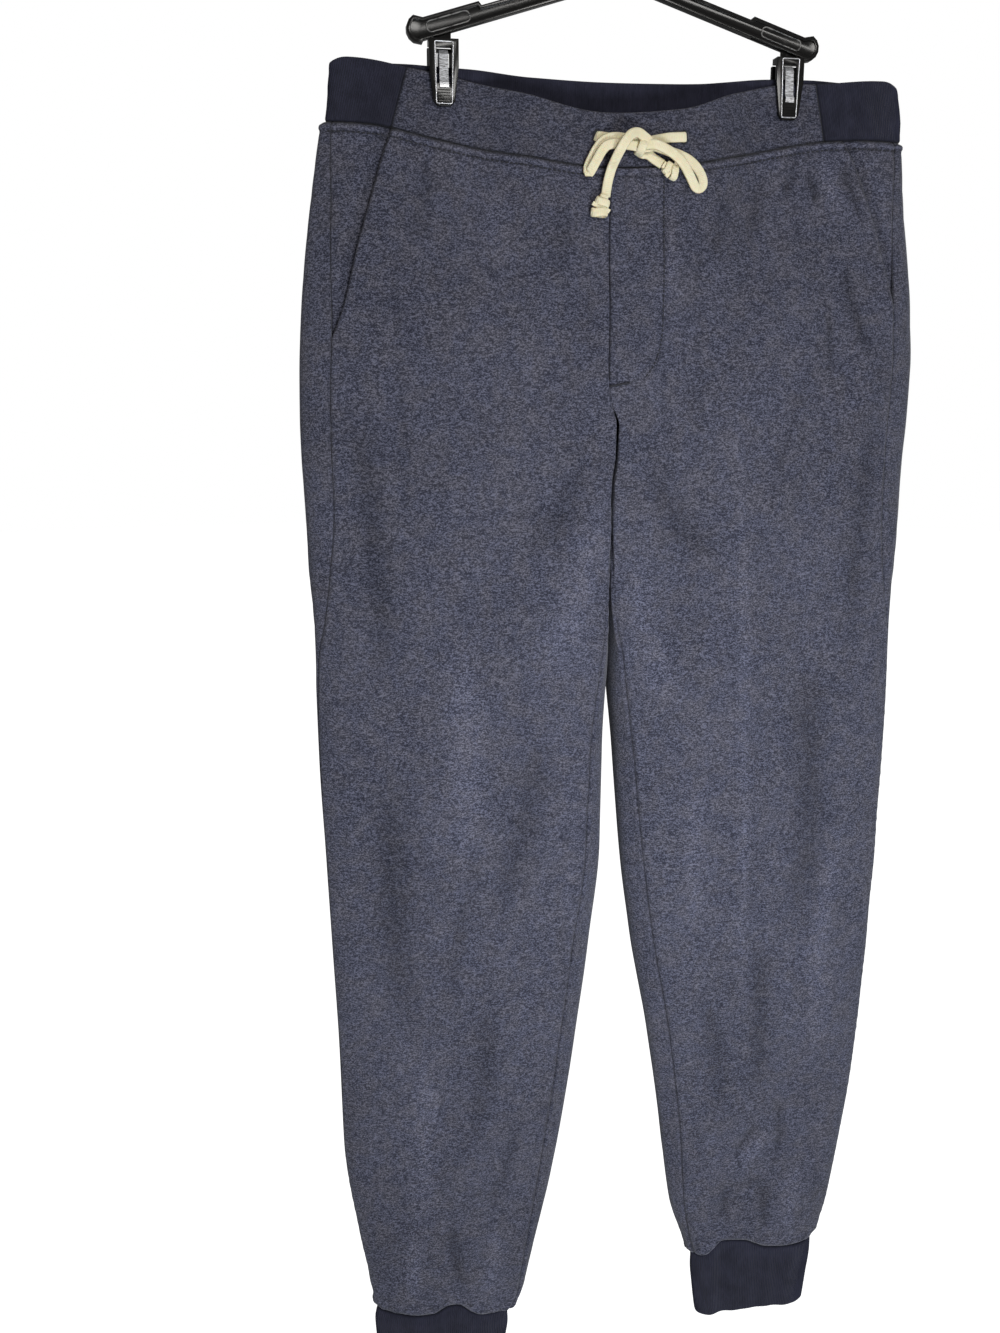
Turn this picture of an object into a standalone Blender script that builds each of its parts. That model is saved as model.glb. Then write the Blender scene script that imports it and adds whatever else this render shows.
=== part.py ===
"""Jogger sweatpants on a clip hanger.

The trousers hang by their waistband from two spring clips.  Every cloth piece is a thin wall laid through
sections of the garment; each section comes from the tables below.  The origin is the inner top of the hook,
where it rests on a rail.  The wearer's right is -X, the front is -Y and up is +Z.  Tables are in millimetres.
"""
import math
from collections import namedtuple

import bmesh
import bpy
import numpy as np
from mathutils import Matrix, Vector

MM = 0.001

# ---------------------------------------------------------------- driving sizes, millimetres
WAIST_TOP = -150.0        # height of the waist's upper corners; the hook's inner top is 0
CENTRE_X = 4.0            # the trousers' centre line lies this far to the wearer's left of the hook
CLOTH = 2.0               # brushed fleece
BAND_CLOTH = 2.4          # doubled waistband and cuffs
SEAM_GAP = 0.3            # between pieces that are sewn together
BAND_HEIGHT = 41.0
FOLD_START = 230.0        # below the waist: the front starts to turn in between the legs
CROTCH = 283.0
LEG_END = 953.0
CLIP_X = (-125.0, 120.0)  # from the trousers' centre line
CLIPPED_DEPTH = 2.8       # half the thickness of the waist between the jaws
CLIP_FLAT = 16.0          # half width of the flat pinch at a clip
CLIP_SPREAD = 62.0        # where the pinch has opened again, sideways
CLIP_REACH = 170.0        # and downwards
SQUARENESS = 2.35         # of the rounded ends of a section
OUTER_ROUND = 118.0       # length of the rounding at the outer edge
HEM_ARCH = 5.0            # rise of the hem between a leg's edges
HEM_ARCH_ROWS = (880.0, 945.0)    # the arch grows between these heights
HEM_MIDDLE = (132.0, 135.0)       # middle of the right and the left hem, from the centre line
HEM_HALF = 58.0
FRONT_COLUMNS = 14
BACK_COLUMNS = 16
ROUND_PLACES = (12, 18, 23)       # corner steps that a column follows at a leg's inner edge
COLUMN_GAP = 0.9          # least distance between two columns
CORNER_STEPS = 24
FORWARDS = (0.0, -1.0)
BACKWARDS = (0.0, 1.0)

Section = namedtuple("Section", "down right_out right_in left_in left_out front back inner_round")
SECTIONS = (              # edges of each leg from the centre line, half depths, rounding of the inner edge
    Section(0, 200.5, 12.0, -12.0, 203.5, 15.0, 12.0, 0),
    Section(20, 203.7, 12.0, -12.0, 206.3, 15.0, 12.5, 0),
    Section(41, 207.5, 12.0, -12.0, 208.7, 14.5, 13.5, 0),
    Section(80, 214.0, 12.0, -12.0, 213.6, 16.0, 17.0, 0),
    Section(120, 219.9, 12.0, -12.0, 220.0, 18.5, 21.0, 0),
    Section(160, 224.3, 12.0, -12.0, 225.3, 20.5, 24.0, 0),
    Section(200, 227.0, 12.0, -12.0, 228.9, 21.5, 26.5, 0),
    Section(213, 227.4, 11.2, -11.2, 228.9, 21.8, 27.2, 0),
    Section(226, 227.7, 8.6, -8.6, 228.8, 22.0, 27.7, 0),
    Section(240, 227.9, 4.4, -4.4, 228.5, 22.0, 28.0, 2),
    Section(262, 227.6, 4.8, -4.7, 227.4, 22.0, 28.0, 3),
    Section(283, 226.8, 6.8, -6.7, 227.0, 21.5, 27.5, 4),
    Section(310, 225.8, 6.6, -6.5, 227.2, 21.0, 26.5, 5),
    Section(340, 225.2, 6.8, -6.7, 226.4, 20.5, 25.5, 6),
    Section(365, 223.4, 6.9, -6.8, 225.4, 20.2, 24.8, 7),
    Section(388, 222.4, 5.6, -5.4, 225.3, 19.8, 24.2, 9),
    Section(410, 222.2, 4.2, -3.9, 225.8, 19.5, 23.5, 12),
    Section(430, 222.6, 4.7, -2.8, 226.6, 19.2, 22.8, 16),
    Section(480, 222.2, 6.6, 1.8, 227.4, 18.5, 21.5, 26),
    Section(560, 219.4, 6.8, 9.0, 227.0, 17.5, 19.5, 36),
    Section(640, 216.6, 14.2, 19.8, 224.9, 16.5, 18.0, 42),
    Section(720, 213.8, 23.9, 35.2, 222.6, 15.5, 16.5, 48),
    Section(800, 212.5, 34.9, 47.9, 216.0, 14.5, 15.0, 46),
    Section(880, 202.8, 50.3, 59.2, 206.6, 13.5, 13.8, 44),
    Section(920, 196.2, 61.8, 67.3, 201.8, 13.0, 13.0, 42),
    Section(940, 193.6, 68.0, 73.0, 197.6, 12.6, 12.6, 40),
    Section(953, 189.6, 76.5, 79.0, 191.8, 12.0, 12.0, 38),
)

Seam = namedtuple("Seam", "down side inseam")
SEAMS = (                 # both lie on the front: outer edge to side seam, inner edge to inseam
    Seam(0, 10.0, 0.0),
    Seam(41, 10.0, 0.0),
    Seam(100, 18.0, 0.0),
    Seam(190, 27.0, 0.0),
    Seam(283, 26.0, 11.0),
    Seam(310, 24.0, 18.0),
    Seam(340, 20.0, 26.0),
    Seam(377, 12.0, 31.0),
    Seam(410, 4.0, 33.0),
    Seam(480, 2.0, 31.0),
    Seam(600, 1.0, 26.0),
    Seam(800, 0.5, 21.0),
    Seam(953, 0.0, 15.0),
)

Rise = namedtuple("Rise", "down front back")
RISE = (                  # depth of the rise seams where they pass between the legs
    Rise(230, -21.5, 27.5),
    Rise(245, -20.0, 25.0),
    Rise(260, -17.5, 18.0),
    Rise(274, -14.0, 4.0),
    Rise(283, -11.0, -10.0),
)

Sag = namedtuple("Sag", "across front_top front_seam back_top back_seam")
SAG = (                   # drop of the slack waistband between the clips
    Sag(-206, 0.0, 0.0, 0.0, 0.0),
    Sag(-163, -3.5, -2.5, -1.5, -1.0),
    Sag(-128, -8.0, -8.5, -3.0, -2.0),
    Sag(-75, -19.5, -18.0, -4.5, -3.5),
    Sag(-15, -30.5, -24.5, -6.0, -4.5),
    Sag(40, -26.0, -21.5, -5.0, -4.0),
    Sag(80, -13.5, -14.0, -3.0, -2.5),
    Sag(117.5, -5.0, -6.0, -1.0, -1.0),
    Sag(150, -3.5, -1.0, -0.5, -0.5),
    Sag(206, 0.0, 0.0, 0.0, 0.0),
)
SAG_ENDS = 185.0          # below the waist, where the sag has died out

Mouth = namedtuple("Mouth", "down right left")
POCKET_MOUTHS = (         # slanted front edge of each pocket, from the centre line
    Mouth(41, 160.5, 161.0),
    Mouth(62, 168.5, 173.0),
    Mouth(80, 174.0, 180.5),
    Mouth(117, 185.5, 194.0),
    Mouth(160, 197.0, 206.5),
    Mouth(188, 208.5, 211.0),
)
POCKET_END = 188.0
FACING_GAP = 0.4          # between the front and the facing under it
FACING_SLOPE = 14.0       # outside the mouth the facing comes up flush over this distance
FACING_COLUMNS = 5

RIB_EDGE_TOP = (149.5, 141.0)     # rib starts, right and left, at the top of the band
RIB_EDGE_SEAM = (161.0, 148.5)    # and at the seam
RIB_COLUMNS = 21          # from the front edge of the rib to the centre back
FRONT_BAND_PLACES = (-92, -72, -50, -30, 8, 28, 48, 68, 86)   # columns between the clips
CLIP_PLACES = (-14, 0, 14)        # columns at each clip

FLY_LEFT_EDGE = -11.6
FLY_WIDTH = 41.0
FLY_TOP = 42.0            # below the waist, before the sag
FLY_STRAIGHT_END = 168.0  # its free side runs straight to here and then curves in
FLY_BOTTOM = 209.0
FLY_THICK = 1.2

Fold = namedtuple("Fold", "x0 down0 x1 down1 width height")
FOLDS = (                 # soft ridges (+) and troughs (-) of the front, from end to end
    Fold(-162, 130, -156, 315, 13, -1.6),
    Fold(-116, 306, -16, 300, 11, -1.8),
    Fold(54, 80, 59, 270, 12, -1.6),
    Fold(88, 262, 108, 680, 15, 2.6),
    Fold(138, 200, 109, 318, 11, 2.4),
    Fold(166, 120, 186, 196, 9, 1.6),
    Fold(-88, 640, -104, 860, 16, 1.8),
    Fold(114, 846, 131, 820, 9, -1.6),
    Fold(151, 795, 151, 850, 9, -1.6),
    Fold(106, 868, 107, 915, 9, -1.8),
    Fold(-136, 840, -128, 912, 10, -1.6),
    Fold(101, 936, 105, 1040, 13, 7.0),
    Fold(172, 925, 168, 1040, 16, 2.2),
    Fold(-108, 930, -112, 1040, 12, 3.0),
    Fold(-160, 930, -160, 1040, 14, 2.6),
)

PANEL_ROWS = (41, 58, 78, 102, 130, 160, 188, 208, 220, 230, 240, 250, 260, 268, 276, 283, 292, 306,
              324, 346, 370, 392, 412, 434, 466, 512, 564, 618, 672, 726, 780, 828, 872, 908, 930, 944, 953)


# ---------------------------------------------------------------- curves through tables
def smooth(knots, values, at):
    """Cubic through the values that never overshoots them."""
    knots = np.asarray(knots, float)
    values = np.asarray(values, float)
    steps = np.diff(knots)
    slopes = np.diff(values) / steps
    bends = np.zeros(len(knots))
    bends[0], bends[-1] = slopes[0], slopes[-1]
    for i in range(1, len(knots) - 1):
        if slopes[i - 1] * slopes[i] > 0:
            w1 = 2 * steps[i] + steps[i - 1]
            w2 = steps[i] + 2 * steps[i - 1]
            bends[i] = (w1 + w2) / (w1 / slopes[i - 1] + w2 / slopes[i])
    at = np.clip(np.asarray(at, float), knots[0], knots[-1])
    i = np.clip(np.searchsorted(knots, at) - 1, 0, len(steps) - 1)
    t = (at - knots[i]) / steps[i]
    return ((2 * t**3 - 3 * t**2 + 1) * values[i] + (t**3 - 2 * t**2 + t) * steps[i] * bends[i]
            + (3 * t**2 - 2 * t**3) * values[i + 1] + (t**3 - t**2) * steps[i] * bends[i + 1])


def column(table, key, name, at):
    """Value of one named column of a table at a position along its key."""
    return smooth([getattr(row, key) for row in table], [getattr(row, name) for row in table], at)


def ease(start, end, value):
    """0 before start, 1 after end, smooth between."""
    t = np.clip((np.asarray(value, float) - start) / (end - start), 0.0, 1.0)
    return t * t * (3 - 2 * t)


# ---------------------------------------------------------------- the garment's surface
def pinch(x, down):
    """How far the clips press the cloth together: 1 in the jaws, 0 away from them."""
    weight = np.zeros(np.shape(x))
    for clip in CLIP_X:
        sideways = 1 - ease(CLIP_FLAT, CLIP_SPREAD, np.abs(x - clip))
        weight = np.maximum(weight, sideways)
    return weight * (1 - ease(BAND_HEIGHT - 6, CLIP_REACH, down))


def relief(x, down):
    """Height of the folds on the front."""
    height = np.zeros(np.shape(x))
    for fold in FOLDS:
        along = np.array((fold.x1 - fold.x0, fold.down1 - fold.down0), float)
        length = np.hypot(*along)
        along /= length
        dx = x - fold.x0
        dd = down - fold.down0
        t = dx * along[0] + dd * along[1]
        off = dx * along[1] - dd * along[0]
        fade = ease(-0.15 * length, 0.25 * length, t) * (1 - ease(0.75 * length, 1.15 * length, t))
        height = height + fold.height * fade * np.exp(-(off / fold.width) ** 2)
    return height


def drop(x, y, down):
    """Sag of the waist and arch of the hem at a point of the section."""
    side = "front" if y < 0 else "back"
    seam = column(SAG, "across", side + "_seam", x)
    if down < BAND_HEIGHT:
        top = column(SAG, "across", side + "_top", x)
        sag = top + (seam - top) * down / BAND_HEIGHT
    else:
        sag = seam * (1 - ease(BAND_HEIGHT, SAG_ENDS, down))
    middle = HEM_MIDDLE[0] if x < 0 else HEM_MIDDLE[1]
    across = (abs(x) - middle) / HEM_HALF
    arch = HEM_ARCH * ease(*HEM_ARCH_ROWS, down) * (1 - np.clip(across**2, 0, 1))
    return sag + arch


class Loop:
    """One leg's section at one height, from its inner edge forwards and round to the inner edge again."""

    def __init__(self, side, down, shape=None):
        self.side = side
        self.down = down
        name = "left" if side > 0 else "right"
        if shape is None:
            outer = column(SECTIONS, "down", name + "_out", down)
            inner = column(SECTIONS, "down", name + "_in", down) + SEAM_GAP / 2
            front = column(SECTIONS, "down", "front", down)
            back = column(SECTIONS, "down", "back", down)
            inner_round = column(SECTIONS, "down", "inner_round", down)
        else:
            outer, inner, front, back, inner_round = shape
        width = outer - inner
        round_out = min(OUTER_ROUND, 0.52 * width)
        round_in = min(inner_round, 0.48 * width)
        turn = np.linspace(0, math.pi / 2, CORNER_STEPS)
        rise = np.abs(np.sin(turn)) ** (2 / SQUARENESS)
        run = 1 - np.abs(np.cos(turn)) ** (2 / SQUARENESS)
        across = np.concatenate((inner + round_in * run, (outer - round_out * run)[::-1]))
        depth = np.concatenate((rise, rise[::-1]))
        u = np.concatenate((across, across[::-1][1:]))
        v = np.concatenate((-front * depth, (back * depth)[::-1][1:]))
        x = side * u
        press = pinch(x, down)
        v = v * (1 - press) + np.sign(v) * np.minimum(np.abs(v), CLIPPED_DEPTH) * press
        facing_front = np.clip(-v / max(front, 1e-6), 0, 1) ** 1.5
        v = v - relief(x, down) * facing_front * (1 - press)
        self.x = x
        self.y = v
        self.corner = CORNER_STEPS - 1
        self.outer_index = 2 * CORNER_STEPS - 1
        self.back_corner = len(x) - CORNER_STEPS
        self.arc = np.concatenate(((0,), np.cumsum(np.hypot(np.diff(self.x), np.diff(self.y)))))
        self.outer_arc = self.arc[self.outer_index]
        self.length = self.arc[-1]

    def point(self, s):
        return np.interp(s, self.arc, self.x), np.interp(s, self.arc, self.y)

    def normal(self, s):
        """Outward direction in the section's plane."""
        x0, y0 = self.point(s - 0.8)
        x1, y1 = self.point(s + 0.8)
        nx, ny = (y0 - y1) * -self.side, (x1 - x0) * -self.side
        size = np.hypot(nx, ny)
        return nx / size, ny / size

    def front_arc(self, distance):
        """Place on the front where the section is this far from the centre line."""
        part = slice(self.corner, self.outer_index + 1)
        return np.interp(distance * 1.0, self.side * self.x[part], self.arc[part])

    def depth_arc(self, depth, back=False):
        """Place on the inner wall at a given depth."""
        if back:
            part = slice(self.back_corner, len(self.x))
            return np.interp(-depth, -self.y[part], self.arc[part])
        part = slice(0, self.corner + 1)
        return np.interp(-depth, -self.y[part], self.arc[part])


def seam_arcs(loop):
    """Where the front starts, where the pieces part at the side, and where the back ends."""
    down = loop.down
    side = loop.outer_arc - column(SEAMS, "down", "side", down)
    if down <= FOLD_START:
        return loop.arc[loop.corner], side, loop.arc[loop.back_corner]
    if down < CROTCH:
        front = loop.depth_arc(column(RISE, "down", "front", down))
        back = loop.depth_arc(column(RISE, "down", "back", down), back=True)
        return front, side, back
    inseam = column(SEAMS, "down", "inseam", down)
    return inseam + SEAM_GAP / 2, side, loop.length + inseam - SEAM_GAP / 2


def at(loop, s, inward=0.0, facing=None):
    """Point of the garment at a place along a section, or on the wall's inner side."""
    wrapped = s % loop.length if s > loop.length else s
    nx, ny = facing or loop.normal(np.clip(wrapped, 0.9, loop.length - 0.9))
    x, y = loop.point(wrapped)
    z = WAIST_TOP - loop.down + drop(x, y, loop.down)
    return Vector((x - nx * inward + CENTRE_X, y - ny * inward, z))


def spread(start, end, count, crowd=0.45):
    """Places along a section, closer together near both ends."""
    u = np.linspace(0, 1, count)
    u = u - crowd * np.sin(2 * math.pi * u) / (2 * math.pi)
    return start + (end - start) * u


def mouth_at(side, down):
    return column(POCKET_MOUTHS, "down", "left" if side > 0 else "right", down)


# ---------------------------------------------------------------- meshes
def clear_scene():
    for item in list(bpy.data.objects):
        bpy.data.objects.remove(item, do_unlink=True)


def make_material(name, colour, roughness, metallic=0.0):
    material = bpy.data.materials.new(name)
    material.use_nodes = True
    shader = material.node_tree.nodes["Principled BSDF"]
    shader.inputs["Base Color"].default_value = (*colour, 1.0)
    shader.inputs["Roughness"].default_value = roughness
    shader.inputs["Metallic"].default_value = metallic
    material.diffuse_color = (*colour, 1.0)
    return material


def finish_mesh(name, bm, material, smooth_shading=True):
    bmesh.ops.recalc_face_normals(bm, faces=bm.faces)
    mesh = bpy.data.meshes.new(name)
    bm.to_mesh(mesh)
    bm.free()
    mesh.materials.append(material)
    if smooth_shading:
        mesh.shade_smooth()
        mesh.set_sharp_from_angle(angle=math.radians(40))
    item = bpy.data.objects.new(name, mesh)
    bpy.context.collection.objects.link(item)
    return item


def wall(name, outside, inside, material, closed=False):
    """Closed cloth wall between two grids of points, given row by row in millimetres."""
    bm = bmesh.new()
    rows = len(outside)
    columns = len(outside[0])
    grids = [[[bm.verts.new(Vector(p) * MM) for p in row] for row in grid] for grid in (outside, inside)]
    last = columns if closed else columns - 1
    for r in range(rows - 1):
        for c in range(last):
            d = (c + 1) % columns
            for grid in grids:
                bm.faces.new((grid[r][c], grid[r][d], grid[r + 1][d], grid[r + 1][c]))
    outer, inner = grids
    for c in range(last):
        d = (c + 1) % columns
        for r in (0, rows - 1):
            bm.faces.new((outer[r][c], outer[r][d], inner[r][d], inner[r][c]))
    if not closed:
        for r in range(rows - 1):
            for c in (0, columns - 1):
                bm.faces.new((outer[r][c], outer[r + 1][c], inner[r + 1][c], inner[r][c]))
    return finish_mesh(name, bm, material)


# ---------------------------------------------------------------- leg panels
def leg_rows():
    gap = SEAM_GAP / 2
    return [PANEL_ROWS[0] + gap] + list(PANEL_ROWS[1:-1]) + [PANEL_ROWS[-1] - gap]


def front_places(side, loop):
    """Columns of a front, from the rise or inseam to the side seam or the pocket mouth."""
    first, edge, _ = seam_arcs(loop)
    if loop.down < POCKET_END:
        edge = min(edge, loop.front_arc(mouth_at(side, loop.down)))
    head = [first]
    for place in ROUND_PLACES:
        head.append(max(loop.arc[place], head[-1] + COLUMN_GAP))
    return head[:-1] + list(spread(head[-1], edge - SEAM_GAP / 2, FRONT_COLUMNS - len(ROUND_PLACES)))


def back_places(loop):
    """Columns of a back, from the side seam round the inner edge to the rise or inseam."""
    parting, last = seam_arcs(loop)[1:]
    final = len(loop.arc) - 1
    tail = [loop.arc[final - place] for place in ROUND_PLACES[::-1]] + [loop.length]
    tail += [loop.length + loop.arc[place] for place in ROUND_PLACES[:2]]
    count = len(tail)
    tail = [min(s, last - (count - n) * COLUMN_GAP) for n, s in enumerate(tail)]
    return list(spread(parting + SEAM_GAP / 2, tail[0], BACK_COLUMNS - count)) + tail[1:] + [last]


def leg_panels(side, material):
    """Front and back of one leg, from the waist seam to the hem."""
    name = "left" if side > 0 else "right"
    front_out, front_in, back_out, back_in = [], [], [], []
    for down in leg_rows():
        loop = Loop(side, down)
        front = front_places(side, loop)
        back = back_places(loop)
        ahead = [FORWARDS if down <= FOLD_START else None] + [None] * (FRONT_COLUMNS - 1)
        behind = [None] * (BACK_COLUMNS - 1) + [BACKWARDS if down <= FOLD_START else None]
        front_out.append([at(loop, s) for s in front])
        front_in.append([at(loop, s, CLOTH, k) for s, k in zip(front, ahead)])
        back_out.append([at(loop, s) for s in back])
        back_in.append([at(loop, s, CLOTH, k) for s, k in zip(back, behind)])
    wall("front_leg_" + name, front_out, front_in, material)
    wall("back_leg_" + name, back_out, back_in, material)


def pocket_facing(side, material):
    """Cloth behind a pocket mouth, from the side seam to just under the front's edge."""
    name = "left" if side > 0 else "right"
    outside, inside = [], []
    under = CLOTH + FACING_GAP
    for down in [row for row in leg_rows() if row < POCKET_END] + [POCKET_END]:
        loop = Loop(side, down)
        front = front_places(side, loop)
        parting = seam_arcs(loop)[1] - SEAM_GAP / 2
        clear = min(front[-1] + 1.2, parting)
        places = np.concatenate(((front[-2], front[-1] - 0.3), np.linspace(clear, parting, FACING_COLUMNS)))
        depths = [under * (1 - ease(0.0, FACING_SLOPE, s - clear)) for s in places]
        outside.append([at(loop, s, d) for s, d in zip(places, depths)])
        inside.append([at(loop, s, d + CLOTH) for s, d in zip(places, depths)])
    wall("pocket_facing_" + name, outside, inside, material)


def front_point(x, down, lift=0.0):
    """Point on the front at a place across and down, moved out by lift."""
    loop = Loop(1 if x >= FLY_LEFT_EDGE else -1, down)
    s = loop.front_arc(abs(x) if loop.side * x >= 0 else -abs(x))
    return at(loop, s, -lift, FORWARDS if s - loop.arc[loop.corner] < 1.0 else None)


def fly_placket(material):
    """Mock fly laid on the wearer's left front, straight at the centre and curved in at its foot."""
    outside, inside = [], []
    downs = list(np.linspace(FLY_TOP, FLY_STRAIGHT_END, 8)) + [180, 190, 198, 204, FLY_BOTTOM]
    for down in downs:
        foot = np.clip((down - FLY_STRAIGHT_END) / (FLY_BOTTOM - FLY_STRAIGHT_END), 0, 1)
        width = FLY_WIDTH * (0.52 + 0.48 * math.sqrt(1 - foot**2))
        across = FLY_LEFT_EDGE + width * np.linspace(0, 1, 5)
        outside.append([front_point(x, down, SEAM_GAP + FLY_THICK) for x in across])
        inside.append([front_point(x, down, SEAM_GAP) for x in across])
    wall("fly_placket", outside, inside, material)


# ---------------------------------------------------------------- waistband and cuffs
def rib_edge(side, down):
    index = 1 if side > 0 else 0
    t = down / BAND_HEIGHT
    return RIB_EDGE_TOP[index] * (1 - t) + RIB_EDGE_SEAM[index] * t


def waistband(fleece, rib):
    """Front panel of body cloth, and one rib piece from side to side round the back."""
    gap = SEAM_GAP / 2
    downs = np.linspace(0, BAND_HEIGHT - gap, 5)
    front_out, front_in, rib_out, rib_in = [], [], [], []
    for down in downs:
        right, left = Loop(-1, down), Loop(1, down)
        right_edge = rib_edge(-1, down) - gap
        left_edge = rib_edge(1, down) - gap
        at_clips = [CLIP_X[0] + step for step in CLIP_PLACES], [CLIP_X[1] + step for step in CLIP_PLACES]
        right_x = [-right_edge] + at_clips[0] + [x for x in FRONT_BAND_PLACES if x < 0]
        left_x = [x for x in FRONT_BAND_PLACES if x > 0] + at_clips[1] + [left_edge]
        right_arcs = [right.front_arc(-x) for x in right_x] + [right.arc[right.corner]]
        left_arcs = [left.arc[left.corner]] + [left.front_arc(x) for x in left_x]
        front_out.append(across_centre(right, left, right_arcs, left_arcs, 0.0, FORWARDS))
        front_in.append(across_centre(right, left, right_arcs, left_arcs, BAND_CLOTH, FORWARDS))
        rib_right = rib_arcs(right, rib_edge(-1, down) + gap)
        rib_left = rib_arcs(left, rib_edge(1, down) + gap)[::-1]
        rib_out.append(across_centre(right, left, rib_right, rib_left, 0.0, BACKWARDS))
        rib_in.append(across_centre(right, left, rib_right, rib_left, BAND_CLOTH, BACKWARDS))
    wall("waistband_front", front_out, front_in, fleece)
    wall("waistband_rib", rib_out, rib_in, rib)


def across_centre(right, left, right_arcs, left_arcs, inward, facing):
    """Row of points from the right section to the left one; the two that meet at the centre face one way."""
    row = [at(right, s, inward) for s in right_arcs[:-1]]
    row.append(at(right, right_arcs[-1], inward, facing))
    row.append(at(left, left_arcs[0], inward, facing))
    return row + [at(left, s, inward) for s in left_arcs[1:]]


def rib_arcs(loop, edge):
    """Places along the rib from its front edge round the side to the centre back."""
    start = loop.front_arc(edge)
    end = loop.arc[loop.back_corner]
    return spread(start, end, RIB_COLUMNS, 0.0)


Cuff = namedtuple("Cuff", "below outer inner depth")
CUFFS = {                 # below the leg's end; edges from the centre line and half depth
    -1: (Cuff(0.0, 189.0, 80.5, 11.2), Cuff(12, 191.0, 79.5, 12.6), Cuff(30, 190.0, 81.0, 12.4),
         Cuff(50, 188.0, 84.0, 11.4)),
    1: (Cuff(0.0, 190.5, 82.0, 11.2), Cuff(12, 191.0, 82.0, 12.6), Cuff(30, 188.5, 84.5, 12.4),
        Cuff(50, 186.0, 88.0, 11.4)),
}
CUFF_COLUMNS = 26
CUFF_ROUND = 60.0         # length of the rounding at the cuff's inner edge
CUFF_ROWS = (0.15, 8, 22, 38, 50)


def cuff(side, material):
    """Rib tube below one leg's hem."""
    outside, inside = [], []
    for below in CUFF_ROWS:
        outer = column(CUFFS[side], "below", "outer", below)
        inner = column(CUFFS[side], "below", "inner", below)
        depth = column(CUFFS[side], "below", "depth", below)
        loop = Loop(side, LEG_END + below, (outer, inner, depth, depth, CUFF_ROUND))
        places = np.linspace(0, loop.length, CUFF_COLUMNS, endpoint=False) + 0.5
        outside.append([at(loop, s) for s in places])
        inside.append([at(loop, s, BAND_CLOTH) for s in places])
    wall("cuff_" + ("left" if side > 0 else "right"), outside, inside, material, closed=True)


# ---------------------------------------------------------------- drawstring
CORD_WIDTH = 6.8
CORD_THICK = 3.0
CORD_STEP = 4.2
KNOT_SIDES = 8

Strand = namedtuple("Strand", "name points")
STRANDS = (               # across, height below the waist's top, distance of the centre from the cloth
    Strand("drawstring_lead_right", (
        (-21, 46.5, 2.0), (-15, 47, 2.0), (-8, 48.0, 2.0), (-2.2, 48.9, 2.0))),
    Strand("drawstring_lead_left", (
        (39.7, 44.9, 2.0), (30, 45.6, 2.0), (23, 46.8, 2.0), (17.6, 48.0, 2.1))),
    Strand("drawstring_loop_right", (
        (-1.4, 48.4, 5.6), (-6.5, 47.4, 5.6), (-13, 47.6, 5.5), (-18.6, 50.0, 5.4), (-22.6, 55.0, 4.3),
        (-25.4, 60.5, 3.1), (-27.6, 65.5, 2.7), (-28.2, 69.0, 3.3), (-27.4, 70.2, 4.7), (-25.6, 67.0, 6.1),
        (-22.6, 61.5, 6.9), (-20.0, 56.8, 8.2), (-16.8, 53.4, 9.0), (-12.5, 52.2, 9.1), (-6.5, 52.2, 9.2),
        (-1.6, 52.4, 9.0))),
    Strand("drawstring_loop_left", (
        (16.8, 51.6, 9.6), (22.5, 53.4, 10.0), (31, 57.6, 9.8), (37.8, 63.0, 8.6), (43.0, 69.4, 6.4),
        (46.6, 74.6, 4.6), (48.6, 77.2, 3.8), (51.4, 78.2, 3.3), (54.0, 76.2, 3.1), (54.2, 72.6, 2.9),
        (52.4, 68.2, 2.8), (48.6, 63.4, 2.8), (43.6, 59.6, 2.9), (37.0, 56.8, 3.0), (30.0, 55.0, 3.8),
        (23.4, 53.4, 5.6), (17.0, 52.2, 6.0))),
    Strand("drawstring_tail_right", (
        (12.2, 45.4, 7.6), (8.6, 44.2, 8.4), (4.2, 44.2, 11.2), (-0.6, 46.2, 14.3), (-4.6, 50.0, 15.2),
        (-8.0, 55.4, 14.6), (-10.6, 61.4, 11.0), (-12.4, 67.4, 6.4), (-13.9, 74.0, 4.2), (-15.0, 80.0, 3.8),
        (-15.8, 85.4, 3.8))),
    Strand("drawstring_tail_left", (
        (14.6, 57.0, 2.4), (18.6, 59.6, 2.4), (22.2, 61.8, 3.0), (24.4, 63.3, 3.8))),
)

Bead = namedtuple("Bead", "x down lift width thick")
KNOTS = {                 # centre line of each knot with its width and thickness
    "drawstring_knot": (Bead(-1.2, 51.0, 5.0, 3.0, 3.0), Bead(0.2, 51.2, 5.0, 7.6, 6.4),
                        Bead(4.0, 52.0, 5.0, 9.4, 7.4), Bead(8.0, 52.4, 5.0, 9.8, 7.8),
                        Bead(12.0, 52.2, 5.0, 9.0, 7.2), Bead(15.0, 52.0, 5.0, 7.0, 5.6),
                        Bead(16.2, 52.0, 5.0, 3.0, 3.0)),
    "drawstring_end_knot_right": (Bead(-16.3, 86.4, 4.9, 4.0, 3.0), Bead(-16.7, 87.2, 4.9, 8.4, 5.8),
                                  Bead(-17.8, 90.0, 4.9, 9.6, 6.4), Bead(-18.7, 93.0, 4.9, 8.0, 5.4),
                                  Bead(-19.5, 95.6, 4.9, 10.6, 6.4), Bead(-20.4, 98.4, 4.9, 9.0, 5.4),
                                  Bead(-21.0, 100.0, 4.9, 4.4, 3.0)),
    "drawstring_end_knot_left": (Bead(26.0, 64.2, 5.0, 3.4, 3.0), Bead(26.8, 64.6, 5.0, 7.4, 4.6),
                                 Bead(29.6, 66.2, 5.0, 9.6, 5.4), Bead(32.6, 67.8, 5.0, 10.2, 5.2),
                                 Bead(35.2, 69.2, 5.0, 7.2, 4.2), Bead(36.2, 69.8, 5.0, 3.0, 2.6)),
}


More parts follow.
